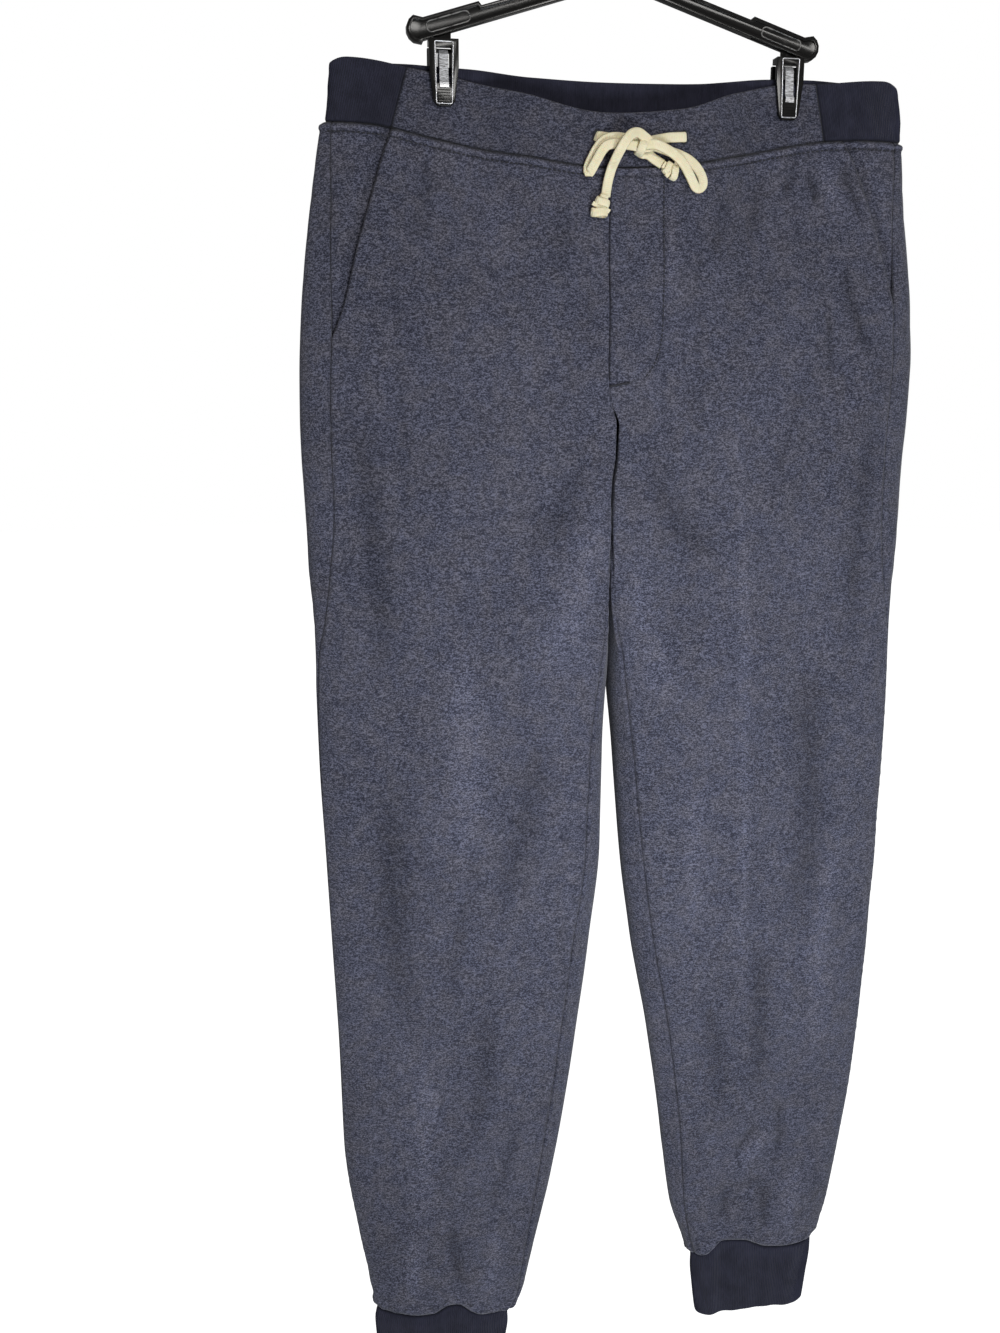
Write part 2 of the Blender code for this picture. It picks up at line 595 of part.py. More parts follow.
def on_front(x, height, lift):
    """Point in front of the cloth at a place across and a real height below the waist's top."""
    down = height
    for _ in range(6):
        down = max(1.0, height + float(drop(x, -1.0, down)))
    point = front_point(x, down)
    return Vector((point.x, point.y - lift, WAIST_TOP - height))


def smooth_route(points, step):
    """Evenly spaced points on a smooth curve through the given ones."""
    controls = [Vector(p) for p in points]
    padded = [2 * controls[0] - controls[1]] + controls + [2 * controls[-1] - controls[-2]]
    dense = []
    for p0, p1, p2, p3 in zip(padded, padded[1:], padded[2:], padded[3:]):
        for t in np.linspace(0, 1, 12, endpoint=False):
            dense.append(0.5 * (2 * p1 + (p2 - p0) * t + (2 * p0 - 5 * p1 + 4 * p2 - p3) * t**2
                                + (3 * p1 - p0 - 3 * p2 + p3) * t**3))
    dense.append(controls[-1])
    lengths = np.concatenate(((0,), np.cumsum([(b - a).length for a, b in zip(dense, dense[1:])])))
    count = max(4, int(round(lengths[-1] / step)) + 1)
    wanted = np.linspace(0, lengths[-1], count)
    return [Vector([np.interp(s, lengths, [p[k] for p in dense]) for k in range(3)]) for s in wanted]


def cord(name, route, material):
    """Flat cord along a route: a tape section with rounded edges, turned to lie flat on the cloth."""
    curve = bpy.data.curves.new(name, "CURVE")
    curve.dimensions = "3D"
    curve.bevel_depth = CORD_THICK / 2 * MM
    curve.extrude = (CORD_WIDTH - CORD_THICK) / 2 * MM
    curve.bevel_resolution = 2
    curve.use_fill_caps = True
    spline = curve.splines.new("POLY")
    spline.points.add(len(route) - 1)
    for knot, point in zip(spline.points, route):
        knot.co = (point.x * MM, point.z * MM, -point.y * MM, 1)
        knot.tilt = math.pi / 2
    curve.materials.append(material)
    item = bpy.data.objects.new(name, curve)
    item.rotation_euler = (math.pi / 2, 0, 0)
    bpy.context.collection.objects.link(item)
    return item


def sweep(name, route, widths, thicks, material):
    """Closed knot of flattened round sections along a route in front of the cloth."""
    bm = bmesh.new()
    across = None
    rings = []
    for i, centre in enumerate(route):
        ahead = (route[min(i + 1, len(route) - 1)] - route[max(i - 1, 0)]).normalized()
        if across is None:
            across = ahead.cross(Vector((0, -1, 0)))
        across = (across - ahead * across.dot(ahead)).normalized()
        out = across.cross(ahead)
        ring = []
        for k in range(KNOT_SIDES):
            turn = 2 * math.pi * (k + 0.5) / KNOT_SIDES
            offset = across * math.cos(turn) * widths[i] / 2 + out * math.sin(turn) * thicks[i] / 2
            ring.append(bm.verts.new((centre + offset) * MM))
        rings.append(ring)
    for a, b in zip(rings, rings[1:]):
        for k in range(KNOT_SIDES):
            m = (k + 1) % KNOT_SIDES
            bm.faces.new((a[k], a[m], b[m], b[k]))
    bm.faces.new(rings[0])
    bm.faces.new(rings[-1])
    return finish_mesh(name, bm, material)


def drawstring(material):
    """Two leads, a bow with two loops, two tails and their end knots."""
    for strand in STRANDS:
        route = smooth_route([on_front(*p) for p in strand.points], CORD_STEP)
        cord(strand.name, route, material)
    for name, beads in KNOTS.items():
        route = [on_front(b.x, b.down, b.lift) for b in beads]
        sweep(name, route, [b.width for b in beads], [b.thick for b in beads], material)


# ---------------------------------------------------------------- hanger
ARM_THICK = 7.0
ARM_HEIGHT = 13.0
RAIL_START = 97.0         # from here outwards the arm is a taller rail for the clip
RAIL_STEP = 3.0
ARM_END_X = 136.5
ARM_END_Z = -131.5
ARM_SLOPE = math.radians(17.3)
STOP_RADIUS = 9.0
STOP_Z = ARM_END_Z + 0.8  # middle of a drop stop
STOP_INNER_X = 134.7
RECESS = 1.3
RIM = 2.4
CHANNEL_LENGTH = 36.0     # channel under each rail that a clip's tongue slides in
CHANNEL_THICK = 3.0
CHANNEL_TOP = 1.6         # above the arm's middle
CHANNEL_SHIFT = 9.0       # of its middle from the clip, towards the hanger's centre
TONGUE_THICK = 2.2
HUB_HALF = 15.0
BOSS_RADIUS = 5.5

WIRE = 1.8                # radius of the hook's wire
HOOK_INNER = 19.0         # radius of the hook's inside
HOOK_MOUTH = math.radians(-28)

CLIP_BOTTOM = -29.0       # from the waist's top
CLIP_WIDE = 20.0
CLIP_NARROW = 14.5
JAW_FACE = CLIPPED_DEPTH + 0.3
JAW_THICK = 3.2
HEAD_HEIGHT = 4.0
TONGUE = 11.0
WINDOW = 10.0
WINDOW_TOP = 7.6
WINDOW_FOOT = -14.6


def arm_z(x):
    """Middle of an arm at a distance from the hanger's centre."""
    return ARM_END_Z + (ARM_END_X - abs(x)) * math.tan(ARM_SLOPE)


def extrude_outline(name, outline, y0, y1, material, recess=0.0, rim=0.0):
    """Plate cut to an outline in the XZ plane, with an optional rimmed recess on both faces."""
    bm = bmesh.new()
    face = bm.faces.new([bm.verts.new(Vector((x, y0, z)) * MM) for x, z in outline])
    grown = bmesh.ops.extrude_face_region(bm, geom=[face])
    moved = [v for v in grown["geom"] if isinstance(v, bmesh.types.BMVert)]
    bmesh.ops.translate(bm, verts=moved, vec=Vector((0, y1 - y0, 0)) * MM)
    bmesh.ops.recalc_face_normals(bm, faces=bm.faces)
    if recess > 0:
        ends = [f for f in bm.faces if len(f.verts) == len(outline)]
        for end in ends:
            inward = -end.normal.copy()
            bmesh.ops.inset_region(bm, faces=[end], thickness=rim * MM, use_even_offset=True)
            grown = bmesh.ops.extrude_face_region(bm, geom=[end])
            moved = [v for v in grown["geom"] if isinstance(v, bmesh.types.BMVert)]
            bmesh.ops.translate(bm, verts=moved, vec=inward * recess * MM)
            bmesh.ops.delete(bm, geom=[end], context="FACES_ONLY")
    return finish_mesh(name, bm, material, smooth_shading=False)


def block(name, low, high, material=None):
    """Plain box between two corners; a cutter when it has no material."""
    bm = bmesh.new()
    size = Vector(high) - Vector(low)
    middle = (Vector(high) + Vector(low)) / 2
    stretch = Matrix.Diagonal((*(size * MM), 1))
    bmesh.ops.create_cube(bm, size=1.0, matrix=Matrix.Translation(middle * MM) @ stretch)
    mesh = bpy.data.meshes.new(name)
    bm.to_mesh(mesh)
    bm.free()
    item = bpy.data.objects.new(name, mesh)
    bpy.context.collection.objects.link(item)
    if material is None:
        item.hide_render = True
        item.display_type = "WIRE"
    else:
        mesh.materials.append(material)
    return item


def combine(item, tool, operation):
    modifier = item.modifiers.new(operation.title() + " " + tool.name, "BOOLEAN")
    modifier.operation = operation
    modifier.object = tool
    tool.hide_render = True
    tool.display_type = "WIRE"


def arm_outline():
    """Outline of the whole body: two sloping arms with drop stops at their ends."""
    lean = ARM_HEIGHT / 2 / math.cos(ARM_SLOPE)
    half = []
    apex = arm_z(HUB_HALF) + lean - RAIL_STEP
    half.append((BOSS_RADIUS + 1.5, apex + 1.0))
    half.append((HUB_HALF, apex - 0.6))
    half.append((RAIL_START - 2, arm_z(RAIL_START - 2) + lean - RAIL_STEP))
    half.append((RAIL_START, arm_z(RAIL_START) + lean))
    half.append((ARM_END_X - 2, arm_z(ARM_END_X - 2) + lean))
    for angle in np.radians((60, 35, 10, -15, -40, -65)):
        half.append((ARM_END_X + STOP_RADIUS * math.cos(angle), STOP_Z + STOP_RADIUS * math.sin(angle)))
    half.append((STOP_INNER_X, STOP_Z - STOP_RADIUS))
    half.append((STOP_INNER_X, arm_z(STOP_INNER_X) - lean))
    half.append((HUB_HALF, arm_z(HUB_HALF) - lean))
    half.append((0.0, arm_z(0.0) - lean - 2.5))
    left = half
    right = [(-x, z) for x, z in half[::-1] if x > 0]
    return left + right


def hanger_body(material):
    body = extrude_outline("hanger_body", arm_outline(), -ARM_THICK / 2, ARM_THICK / 2, material, RECESS, RIM)
    for clip in CLIP_X:
        x = clip + CENTRE_X
        towards = -1 if x > 0 else 1
        middle = x + towards * CHANNEL_SHIFT
        channel = block("channel_cutter_%d" % x, (-CHANNEL_LENGTH / 2, -CHANNEL_THICK / 2, -ARM_HEIGHT),
                        (CHANNEL_LENGTH / 2, CHANNEL_THICK / 2, CHANNEL_TOP))
        channel.location = Vector((middle, 0, arm_z(middle))) * MM
        channel.rotation_euler = (0, -towards * ARM_SLOPE, 0)
        combine(body, channel, "DIFFERENCE")
    return body


def hook(material):
    """Wire hook, threaded into the boss at the top of the body."""
    radius = HOOK_INNER + WIRE
    centre_z = WIRE - radius
    foot = arm_z(HUB_HALF) + ARM_HEIGHT / 2 / math.cos(ARM_SLOPE) - RAIL_STEP + 1.0 + SEAM_GAP
    points = [(0, foot), (0, (foot + centre_z - radius) / 2), (0, centre_z - radius - 8)]
    points += [(-1.2, centre_z - radius - 4.0), (-4.2, centre_z - radius * 0.98)]
    for angle in np.linspace(math.radians(244), HOOK_MOUTH, 26):
        points.append((radius * math.cos(angle), centre_z + radius * math.sin(angle)))
    curve = bpy.data.curves.new("hanger_hook", "CURVE")
    curve.dimensions = "3D"
    curve.bevel_depth = WIRE * MM
    curve.bevel_resolution = 2
    curve.use_fill_caps = True
    spline = curve.splines.new("POLY")
    spline.points.add(len(points) - 1)
    for knot, (x, z) in zip(spline.points, points):
        knot.co = (x * MM, 0, z * MM, 1)
    curve.materials.append(material)
    item = bpy.data.objects.new("hanger_hook", curve)
    bpy.context.collection.objects.link(item)
    return item


def jaw_outline(x, top):
    wide, narrow = CLIP_WIDE / 2, CLIP_NARROW / 2
    z0 = WAIST_TOP
    half = [(wide, z0 + top), (wide, z0 - 4), (narrow + 0.6, z0 - 20), (narrow, z0 + CLIP_BOTTOM + 3),
            (narrow - 2.6, z0 + CLIP_BOTTOM)]
    return [(x - across, z) for across, z in half] + [(x + across, z) for across, z in half[::-1]]


def spring_profile():
    """Section of the leaf spring in YZ: hooked on the front jaw, over inside, hooked on the back jaw."""
    hook_y = JAW_FACE + JAW_THICK + 0.65
    half = [(hook_y, -17.5), (hook_y, -14.4), (hook_y - 1.6, -12.4), (4.9, -4.0), (4.3, 3.4), (2.4, 6.2)]
    return [(-y, z) for y, z in half] + [(0.0, 7.0)] + half[::-1]


def ribbon(name, profile, x, width, thick, material):
    """Strip of spring steel bent along a profile."""
    points = [Vector((0, y, z + WAIST_TOP)) for y, z in profile]
    bm = bmesh.new()
    rings = []
    for i, p in enumerate(points):
        before = (p - points[i - 1]).normalized() if i else (points[1] - p).normalized()
        after = (points[i + 1] - p).normalized() if i < len(points) - 1 else before
        ahead = (before + after).normalized()
        out = Vector((0, -ahead.z, ahead.y)) / max(0.5, before.dot(ahead))
        ring = [p + out * thick / 2 * k + Vector((x + width / 2 * j, 0, 0)) for k, j in
                ((1, -1), (1, 1), (-1, 1), (-1, -1))]
        rings.append([bm.verts.new(v * MM) for v in ring])
    for a, b in zip(rings, rings[1:]):
        for k in range(4):
            m = (k + 1) % 4
            bm.faces.new((a[k], a[m], b[m], b[k]))
    bm.faces.new(rings[0])
    bm.faces.new(rings[-1])
    return finish_mesh(name, bm, material, smooth_shading=False)


def clip(name, offset, plastic, steel):
    """One clip: front jaw with its sliding head, hinged back jaw and a leaf spring through both windows."""
    x = offset + CENTRE_X
    z0 = WAIST_TOP
    arm_under = arm_z(x) - ARM_HEIGHT / 2 / math.cos(ARM_SLOPE) - CLIP_WIDE / 2 * math.tan(ARM_SLOPE)
    top = arm_under - SEAM_GAP - z0
    front_face = -JAW_FACE - JAW_THICK
    front = extrude_outline("clip_front_" + name, jaw_outline(x, top), front_face, -JAW_FACE, plastic)
    head = block("head_" + name, (x - CLIP_WIDE / 2, -JAW_FACE - 0.5, z0 + top - HEAD_HEIGHT),
                 (x + CLIP_WIDE / 2, JAW_FACE, z0 + top))
    combine(front, head, "UNION")
    neck = block("neck_" + name, (x - TONGUE / 2, -TONGUE_THICK / 2, z0 + top - 1),
                 (x + TONGUE / 2, TONGUE_THICK / 2, arm_z(x) - 0.4))
    combine(front, neck, "UNION")
    window = block("front_window_" + name, (x - WINDOW / 2, -20, z0 + WINDOW_FOOT),
                   (x + WINDOW / 2, -0.5, z0 + WINDOW_TOP))
    combine(front, window, "DIFFERENCE")
    back_top = top - HEAD_HEIGHT - SEAM_GAP
    back_face = JAW_FACE + JAW_THICK
    back = extrude_outline("clip_back_" + name, jaw_outline(x, back_top), JAW_FACE, back_face, plastic)
    window = block("back_window_" + name, (x - WINDOW / 2, 0.5, z0 + WINDOW_FOOT),
                   (x + WINDOW / 2, 20, z0 + WINDOW_TOP - 1.2))
    combine(back, window, "DIFFERENCE")
    ribbon("clip_spring_" + name, spring_profile(), x, WINDOW - 1.0, 0.7, steel)


def main():
    clear_scene()
    fleece = make_material("heather_fleece", (0.075, 0.078, 0.105), 0.92)
    rib = make_material("navy_rib", (0.026, 0.027, 0.042), 0.9)
    cream = make_material("cream_cord", (0.83, 0.75, 0.53), 0.85)
    plastic = make_material("black_plastic", (0.018, 0.018, 0.018), 0.42)
    steel = make_material("spring_steel", (0.62, 0.62, 0.6), 0.28, 1.0)
    for side in (-1, 1):
        leg_panels(side, fleece)
        pocket_facing(side, fleece)
        cuff(side, rib)
    fly_placket(fleece)
    waistband(fleece, rib)
    drawstring(cream)
    hanger_body(plastic)
    hook(make_material("hook_wire", (0.7, 0.7, 0.7), 0.16, 1.0))
    for name, offset in zip(("right", "left"), CLIP_X):
        clip(name, offset, plastic, steel)


main()
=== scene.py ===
"""Jogger sweatpants on a clip hanger, as they look.

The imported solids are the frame.  Every cloth piece here is a fine shell on the same sections as its solid.
Tables are in millimetres, measured from the garment's centre line and downwards from the top of its waist.
The wearer's right is -X, the front is -Y and up is +Z.
"""

import math
from collections import namedtuple

import bmesh
import bpy
import numpy as np
from bpy.props import FloatProperty, FloatVectorProperty, PointerProperty
from mathutils import Matrix, Vector


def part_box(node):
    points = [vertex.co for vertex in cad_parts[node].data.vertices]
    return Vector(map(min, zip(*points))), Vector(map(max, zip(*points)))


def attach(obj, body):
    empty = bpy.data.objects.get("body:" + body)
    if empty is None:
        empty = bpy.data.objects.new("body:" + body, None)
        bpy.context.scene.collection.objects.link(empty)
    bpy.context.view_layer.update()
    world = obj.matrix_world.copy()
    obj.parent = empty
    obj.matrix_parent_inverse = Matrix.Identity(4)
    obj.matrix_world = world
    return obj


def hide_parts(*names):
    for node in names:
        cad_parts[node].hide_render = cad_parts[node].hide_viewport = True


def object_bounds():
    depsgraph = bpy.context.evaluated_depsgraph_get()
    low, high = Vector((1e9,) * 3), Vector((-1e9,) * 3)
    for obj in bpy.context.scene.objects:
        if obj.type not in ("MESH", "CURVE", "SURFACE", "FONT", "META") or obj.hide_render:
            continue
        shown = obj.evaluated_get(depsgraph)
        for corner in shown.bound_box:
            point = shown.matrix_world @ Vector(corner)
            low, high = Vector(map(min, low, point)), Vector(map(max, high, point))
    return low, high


bl_info = {
    "name": "Jogger Sweatpants",
    "version": (1, 0, 0),
    "blender": (4, 5, 0),
    "location": "View3D > Sidebar > Joggers",
    "description": "Heather fleece joggers with a drawstring, hung from a clip hanger",
    "category": "Add Mesh",
}

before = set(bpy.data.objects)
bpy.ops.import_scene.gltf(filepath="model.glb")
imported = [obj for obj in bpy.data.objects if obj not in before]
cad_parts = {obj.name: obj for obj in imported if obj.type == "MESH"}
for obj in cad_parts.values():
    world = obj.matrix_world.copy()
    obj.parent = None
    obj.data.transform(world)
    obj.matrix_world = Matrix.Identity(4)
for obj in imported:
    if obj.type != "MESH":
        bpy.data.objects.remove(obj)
SOLID_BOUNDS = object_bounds()
BODY = "root"
MM = 0.001
FORWARDS = np.array((0.0, -1.0, 0.0))


def rows_of(kind, rows):
    """Table with each row's values named as its kind names them."""
    return tuple(kind(*row) for row in rows)


# ---------------------------------------------------------------- the cut, millimetres
WAIST_TOP = -150.0        # height of the waist's upper corners; the hook's inner top is 0
CENTRE_X = 4.0            # the trousers' centre line lies this far to the wearer's left of the hook
SEAM_GAP = 0.3
SEAM_LAP = 0.1            # the crosswise seams are sewn shut, so their edges pass each other
BAND_HEIGHT = 41.0
FOLD_START = 230.0        # below the waist: the front starts to turn in between the legs
CROTCH = 283.0
LEG_END = 953.0
CUFF_HEIGHT = 50.0
CLIP_X = (-125.0, 120.0)
CLIPPED_DEPTH = 2.8       # half the thickness of the waist between the jaws
CLIP_FLAT = 16.0          # pressed flat this far to each side of a clip
CLIP_SPREAD = 62.0        # and less and less up to here
CLIP_REACH = 170.0        # below the waist the clips no longer press the cloth
SQUARENESS = 2.35         # of the rounded ends of a section
OUTER_ROUND = 118.0
HEM_ROWS = (880.0, 945.0)     # the hem's line grows between these heights
FOOT_ROWS = (958.0, 1003.0)   # and turns into the cuff's lower edge between these
Hem = namedtuple("Hem", "across seam foot")
# Rise of each hem seam and of the cuff's lower edge, from the level.
HEM_LINE = rows_of(Hem, (
    (-195, 3.0, 0.0), (-190, -1.0, 0.0), (-170, -5.5, 1.0), (-144, -7.8, 0.5),
    (-130, -2.2, 0.0), (-123, -2.0, -1.0), (-114, -8.0, -2.5), (-102, -14.0, -5.0),
    (-86, -17.0, -8.0), (-77, -18.5, -9.0), (70, 16.0, 0.0), (79, 13.2, 0.3),
    (86, 13.2, 1.0), (92, 16.4, 2.2), (97, 20.6, 3.0), (105, 26.0, 4.0),
    (116, 25.2, 4.6), (127, 23.4, 5.0), (136, 19.3, 5.0), (145, 15.2, 4.8),
    (164, 13.3, 3.8), (182, 12.9, 2.0), (193, 15.0, 0.0),
))
CORNER_STEPS = 80         # points along a rounded end of a section
MIDDLE_STEPS = 70         # and along its flat middle

Section = namedtuple("Section", "down right_out right_in left_in left_out front back inner_round")
# Edges of each leg from the centre line, half depths, rounding of the inner edge.
SECTIONS = rows_of(Section, (
    (0, 200.5, 12.0, -12.0, 203.5, 15.0, 12.0, 0),
    (20, 203.7, 12.0, -12.0, 206.3, 15.0, 12.5, 0),
    (41, 207.5, 12.0, -12.0, 208.7, 14.5, 13.5, 0),
    (80, 214.0, 12.0, -12.0, 213.6, 16.0, 17.0, 0),
    (120, 219.9, 12.0, -12.0, 220.0, 18.5, 21.0, 0),
    (160, 224.3, 12.0, -12.0, 225.3, 20.5, 24.0, 0),
    (200, 227.0, 12.0, -12.0, 228.9, 21.5, 26.5, 0),
    (213, 227.4, 11.2, -11.2, 228.9, 21.8, 27.2, 0),
    (226, 227.7, 8.6, -8.6, 228.8, 22.0, 27.7, 0),
    (240, 227.9, 4.4, -4.4, 228.5, 22.0, 28.0, 1.2),
    (262, 227.6, 4.8, -4.7, 227.4, 22.0, 28.0, 1.4),
    (283, 226.8, 6.8, -6.7, 227.0, 21.5, 27.5, 1.6),
    (310, 225.8, 6.6, -6.5, 227.2, 21.0, 26.5, 1.8),
    (340, 225.2, 6.8, -6.7, 226.4, 20.5, 25.5, 2.2),
    (365, 223.4, 6.9, -6.8, 225.4, 20.2, 24.8, 3),
    (388, 222.4, 5.6, -5.4, 225.3, 19.8, 24.2, 5),
    (410, 222.2, 4.2, -3.9, 225.8, 19.5, 23.5, 12),
    (430, 222.6, 4.7, -2.8, 226.6, 19.2, 22.8, 16),
    (480, 222.2, 6.6, 1.8, 227.4, 18.5, 21.5, 26),
    (560, 219.4, 6.8, 9.0, 227.0, 17.5, 19.5, 36),
    (640, 216.6, 14.2, 19.8, 224.9, 16.5, 18.0, 42),
    (720, 213.8, 23.9, 35.2, 222.6, 15.5, 16.5, 48),
    (800, 212.5, 34.9, 47.9, 216.0, 14.5, 15.0, 46),
    (880, 202.8, 50.3, 59.2, 206.6, 13.5, 13.8, 44),
    (920, 196.2, 61.8, 67.3, 201.8, 13.0, 13.0, 42),
    (940, 193.6, 68.0, 73.0, 197.6, 12.6, 12.6, 40),
    (953, 189.6, 76.5, 79.0, 191.8, 12.0, 12.0, 38),
))

Seam = namedtuple("Seam", "down side inseam")
# Both lie on the front: outer edge to side seam, inner edge to inseam.
SEAMS = rows_of(Seam, (
    (0, 10.0, 0.0), (41, 10.0, 0.0), (100, 18.0, 0.0), (190, 27.0, 0.0),
    (283, 26.0, 11.0), (310, 24.0, 15.0), (340, 20.0, 19.0), (377, 12.0, 21.0),
    (410, 4.0, 21.5), (480, 2.0, 22.0), (600, 1.0, 22.5), (800, 0.5, 20.0),
    (900, 0.2, 14.0), (953, 0.0, 8.0),
))

Rise = namedtuple("Rise", "down front back")
# Depth of the rise seams where they pass between the legs.
RISE = rows_of(Rise, (
    (230, -21.5, 27.5), (245, -20.0, 25.0), (260, -17.5, 18.0), (274, -14.0, 4.0),
    (283, -11.0, -10.0),
))

Sag = namedtuple("Sag", "across front_top front_seam back_top back_seam")
# Drop of the slack waistband between the clips.
SAG = rows_of(Sag, (
    (-206, 0.0, 0.0, 0.0, 0.0), (-163, -3.5, -2.5, -1.5, -1.0),
    (-128, -8.0, -8.5, -3.0, -2.0), (-75, -19.5, -18.0, -4.5, -3.5),
    (-15, -30.5, -24.5, -6.0, -4.5), (40, -26.0, -21.5, -5.0, -4.0),
    (80, -13.5, -14.0, -3.0, -2.5), (117.5, -5.0, -6.0, -1.0, -1.0),
    (150, -3.5, -1.0, -0.5, -0.5), (206, 0.0, 0.0, 0.0, 0.0),
))
SAG_ENDS = 185.0          # below the waist the slack has run out

Mouth = namedtuple("Mouth", "down right left")
# Slanted front edge of each pocket, from the centre line.
POCKET_MOUTHS = rows_of(Mouth, (
    (41, 160.5, 161.0), (62, 168.5, 173.0), (80, 174.0, 180.5), (117, 185.5, 194.0),
    (160, 197.0, 206.5), (188, 208.5, 211.0),
))
POCKET_END = 188.0
FACING_GAP = 0.4          # between the front's cloth and the facing behind it
FACING_SLOPE = 14.0       # from the mouth's edge the facing comes forwards over this distance

RIB_EDGE_TOP = (149.5, 141.0)     # where the rib starts on the right and on the left, at the waist's top
RIB_EDGE_SEAM = (161.0, 148.5)    # and at its seam

FLY_EDGE = -11.6          # straight edge of the mock fly, from the centre line
FLY_WIDTH = 41.0
FLY_TOP = 42.0
FLY_STRAIGHT_END = 168.0
FLY_BOTTOM = 209.0
FLY_THICK = 1.2
FLY_STITCH_LINE = 2.4     # from the fly's free edge
BAR_TACK = 15.0           # length of the close stitches across the fly's foot

Cuff = namedtuple("Cuff", "below outer inner depth")
# Below the leg's end; edges from the centre line and half depth.
CUFFS = {
    -1: rows_of(Cuff, ((0.0, 189.0, 80.5, 11.2), (12, 191.0, 79.5, 12.6), (30, 190.0, 81.0, 12.4),
                       (50, 188.0, 84.0, 11.4))),
    1: rows_of(Cuff, ((0.0, 190.5, 82.0, 11.2), (12, 191.0, 82.0, 12.6), (30, 188.5, 84.5, 12.4),
                      (50, 186.0, 88.0, 11.4))),
}
CUFF_ROUND = 60.0

# ---------------------------------------------------------------- folds and wrinkles, millimetres
Fold = namedtuple("Fold", "x0 down0 x1 down1 width height")
# The largest; the solids have those near the legs' rounded edges and above the hems.
FOLDS = rows_of(Fold, (
    (-162, 130, -156, 315, 13, -1.6), (-116, 306, -16, 300, 11, -1.8),
    (54, 80, 59, 270, 12, -1.6), (88, 262, 108, 680, 15, 2.6),
    (138, 200, 109, 318, 11, 2.4), (166, 120, 186, 196, 9, 1.6),
    (-88, 640, -104, 860, 16, 1.8), (114, 846, 131, 820, 9, -1.6),
    (151, 795, 151, 850, 9, -1.6), (106, 868, 107, 915, 9, -1.8),
    (-136, 840, -128, 912, 10, -1.6), (91, 936, 95, 1040, 9, 7.0),
    (172, 925, 168, 1040, 16, 2.2), (-108, 930, -112, 1040, 12, 3.0),
    (-160, 930, -160, 1040, 14, 2.6),
))
Crease = namedtuple("Crease", "x0 down0 x1 down1 bow width height")
# Finer ones, from end to end, with their sideways bow.
FRONT_CREASES = rows_of(Crease, (
    (-161.8, 132, -156.5, 318, 1.5, 2.4, -0.55), (-112, 302, -18, 308, 1.5, 2.2, -0.4),
    (-27, 102, -27, 212, 0.0, 1.6, -0.4), (53.5, 84, 59, 272, -1.0, 2.2, -0.5),
    (87, 258, 108, 690, 5.0, 4.0, 0.7), (138, 204, 110, 316, -2.5, 2.6, -0.6),
    (137, 62, 143, 84, 2.0, 3.0, -1.7), (127, 50, 118, 78, 2.0, 4.0, -1.2),
    (150, 50, 160, 88, -3.0, 4.0, 1.3), (153, 158, 156, 206, 1.0, 3.2, -1.2),
    (165, 128, 188, 190, -3.0, 4.0, -1.4), (162, 55, 178, 92, -2.0, 3.2, -1.4),
    (100, 60, 92, 108, 2.0, 6.0, -0.8), (70, 66, 66, 118, 1.0, 7.0, -0.7),
    (30, 84, 36, 148, -2.0, 8.0, 0.7), (8, 92, 14, 132, 1.0, 7.0, -0.5),
    (-44, 74, -50, 134, 2.0, 9.0, -0.6), (-92, 66, -84, 128, -2.0, 9.0, 0.6),
    (-138, 54, -146, 112, 2.0, 6.0, -0.7), (-30, 262, -70, 332, 8.0, 9.0, -0.7),
    (22, 268, 74, 338, -8.0, 10.0, -0.8), (-20, 300, -58, 420, 9.0, 12.0, 0.8),
    (14, 330, 46, 452, -8.0, 11.0, 0.7), (-190, 236, -176, 420, 5.0, 9.0, -0.9),
    (196, 240, 188, 410, -4.0, 8.0, -0.8), (-124, 398, -118, 560, 6.0, 14.0, 0.9),
    (-60, 470, -92, 610, 6.0, 11.0, -0.8), (-170, 500, -160, 700, -6.0, 13.0, -0.9),
    (60, 520, 66, 640, 3.0, 8.0, 0.7), (150, 430, 160, 640, 6.0, 14.0, -0.9),
    (186, 560, 180, 760, -5.0, 9.0, 0.8), (-104, 560, -128, 690, -5.0, 6.0, -0.6),
    (-98, 700, -112, 800, 3.0, 8.0, -0.8), (-150, 730, -158, 880, 4.0, 10.0, 0.9),
    (-76, 790, -98, 866, 4.0, 6.0, -0.8), (-128, 880, -118, 938, -2.0, 5.0, -1.2),
    (-160, 884, -164, 940, 2.0, 7.0, 1.2), (-92, 890, -100, 942, 2.0, 6.0, 1.0),
    (113, 846, 131, 820, 2.0, 3.4, -1.0), (120, 858, 146, 826, 3.0, 5.0, 0.9),
    (150, 798, 152, 852, 1.5, 3.6, -1.0), (105, 872, 107, 918, 1.0, 3.4, -1.0),
    (138, 870, 142, 936, 2.0, 5.0, -1.1), (168, 866, 164, 938, -2.0, 6.0, 1.0),
    (84, 700, 96, 800, 3.0, 8.0, -0.7), (122, 650, 128, 790, 4.0, 9.0, -0.8),
))
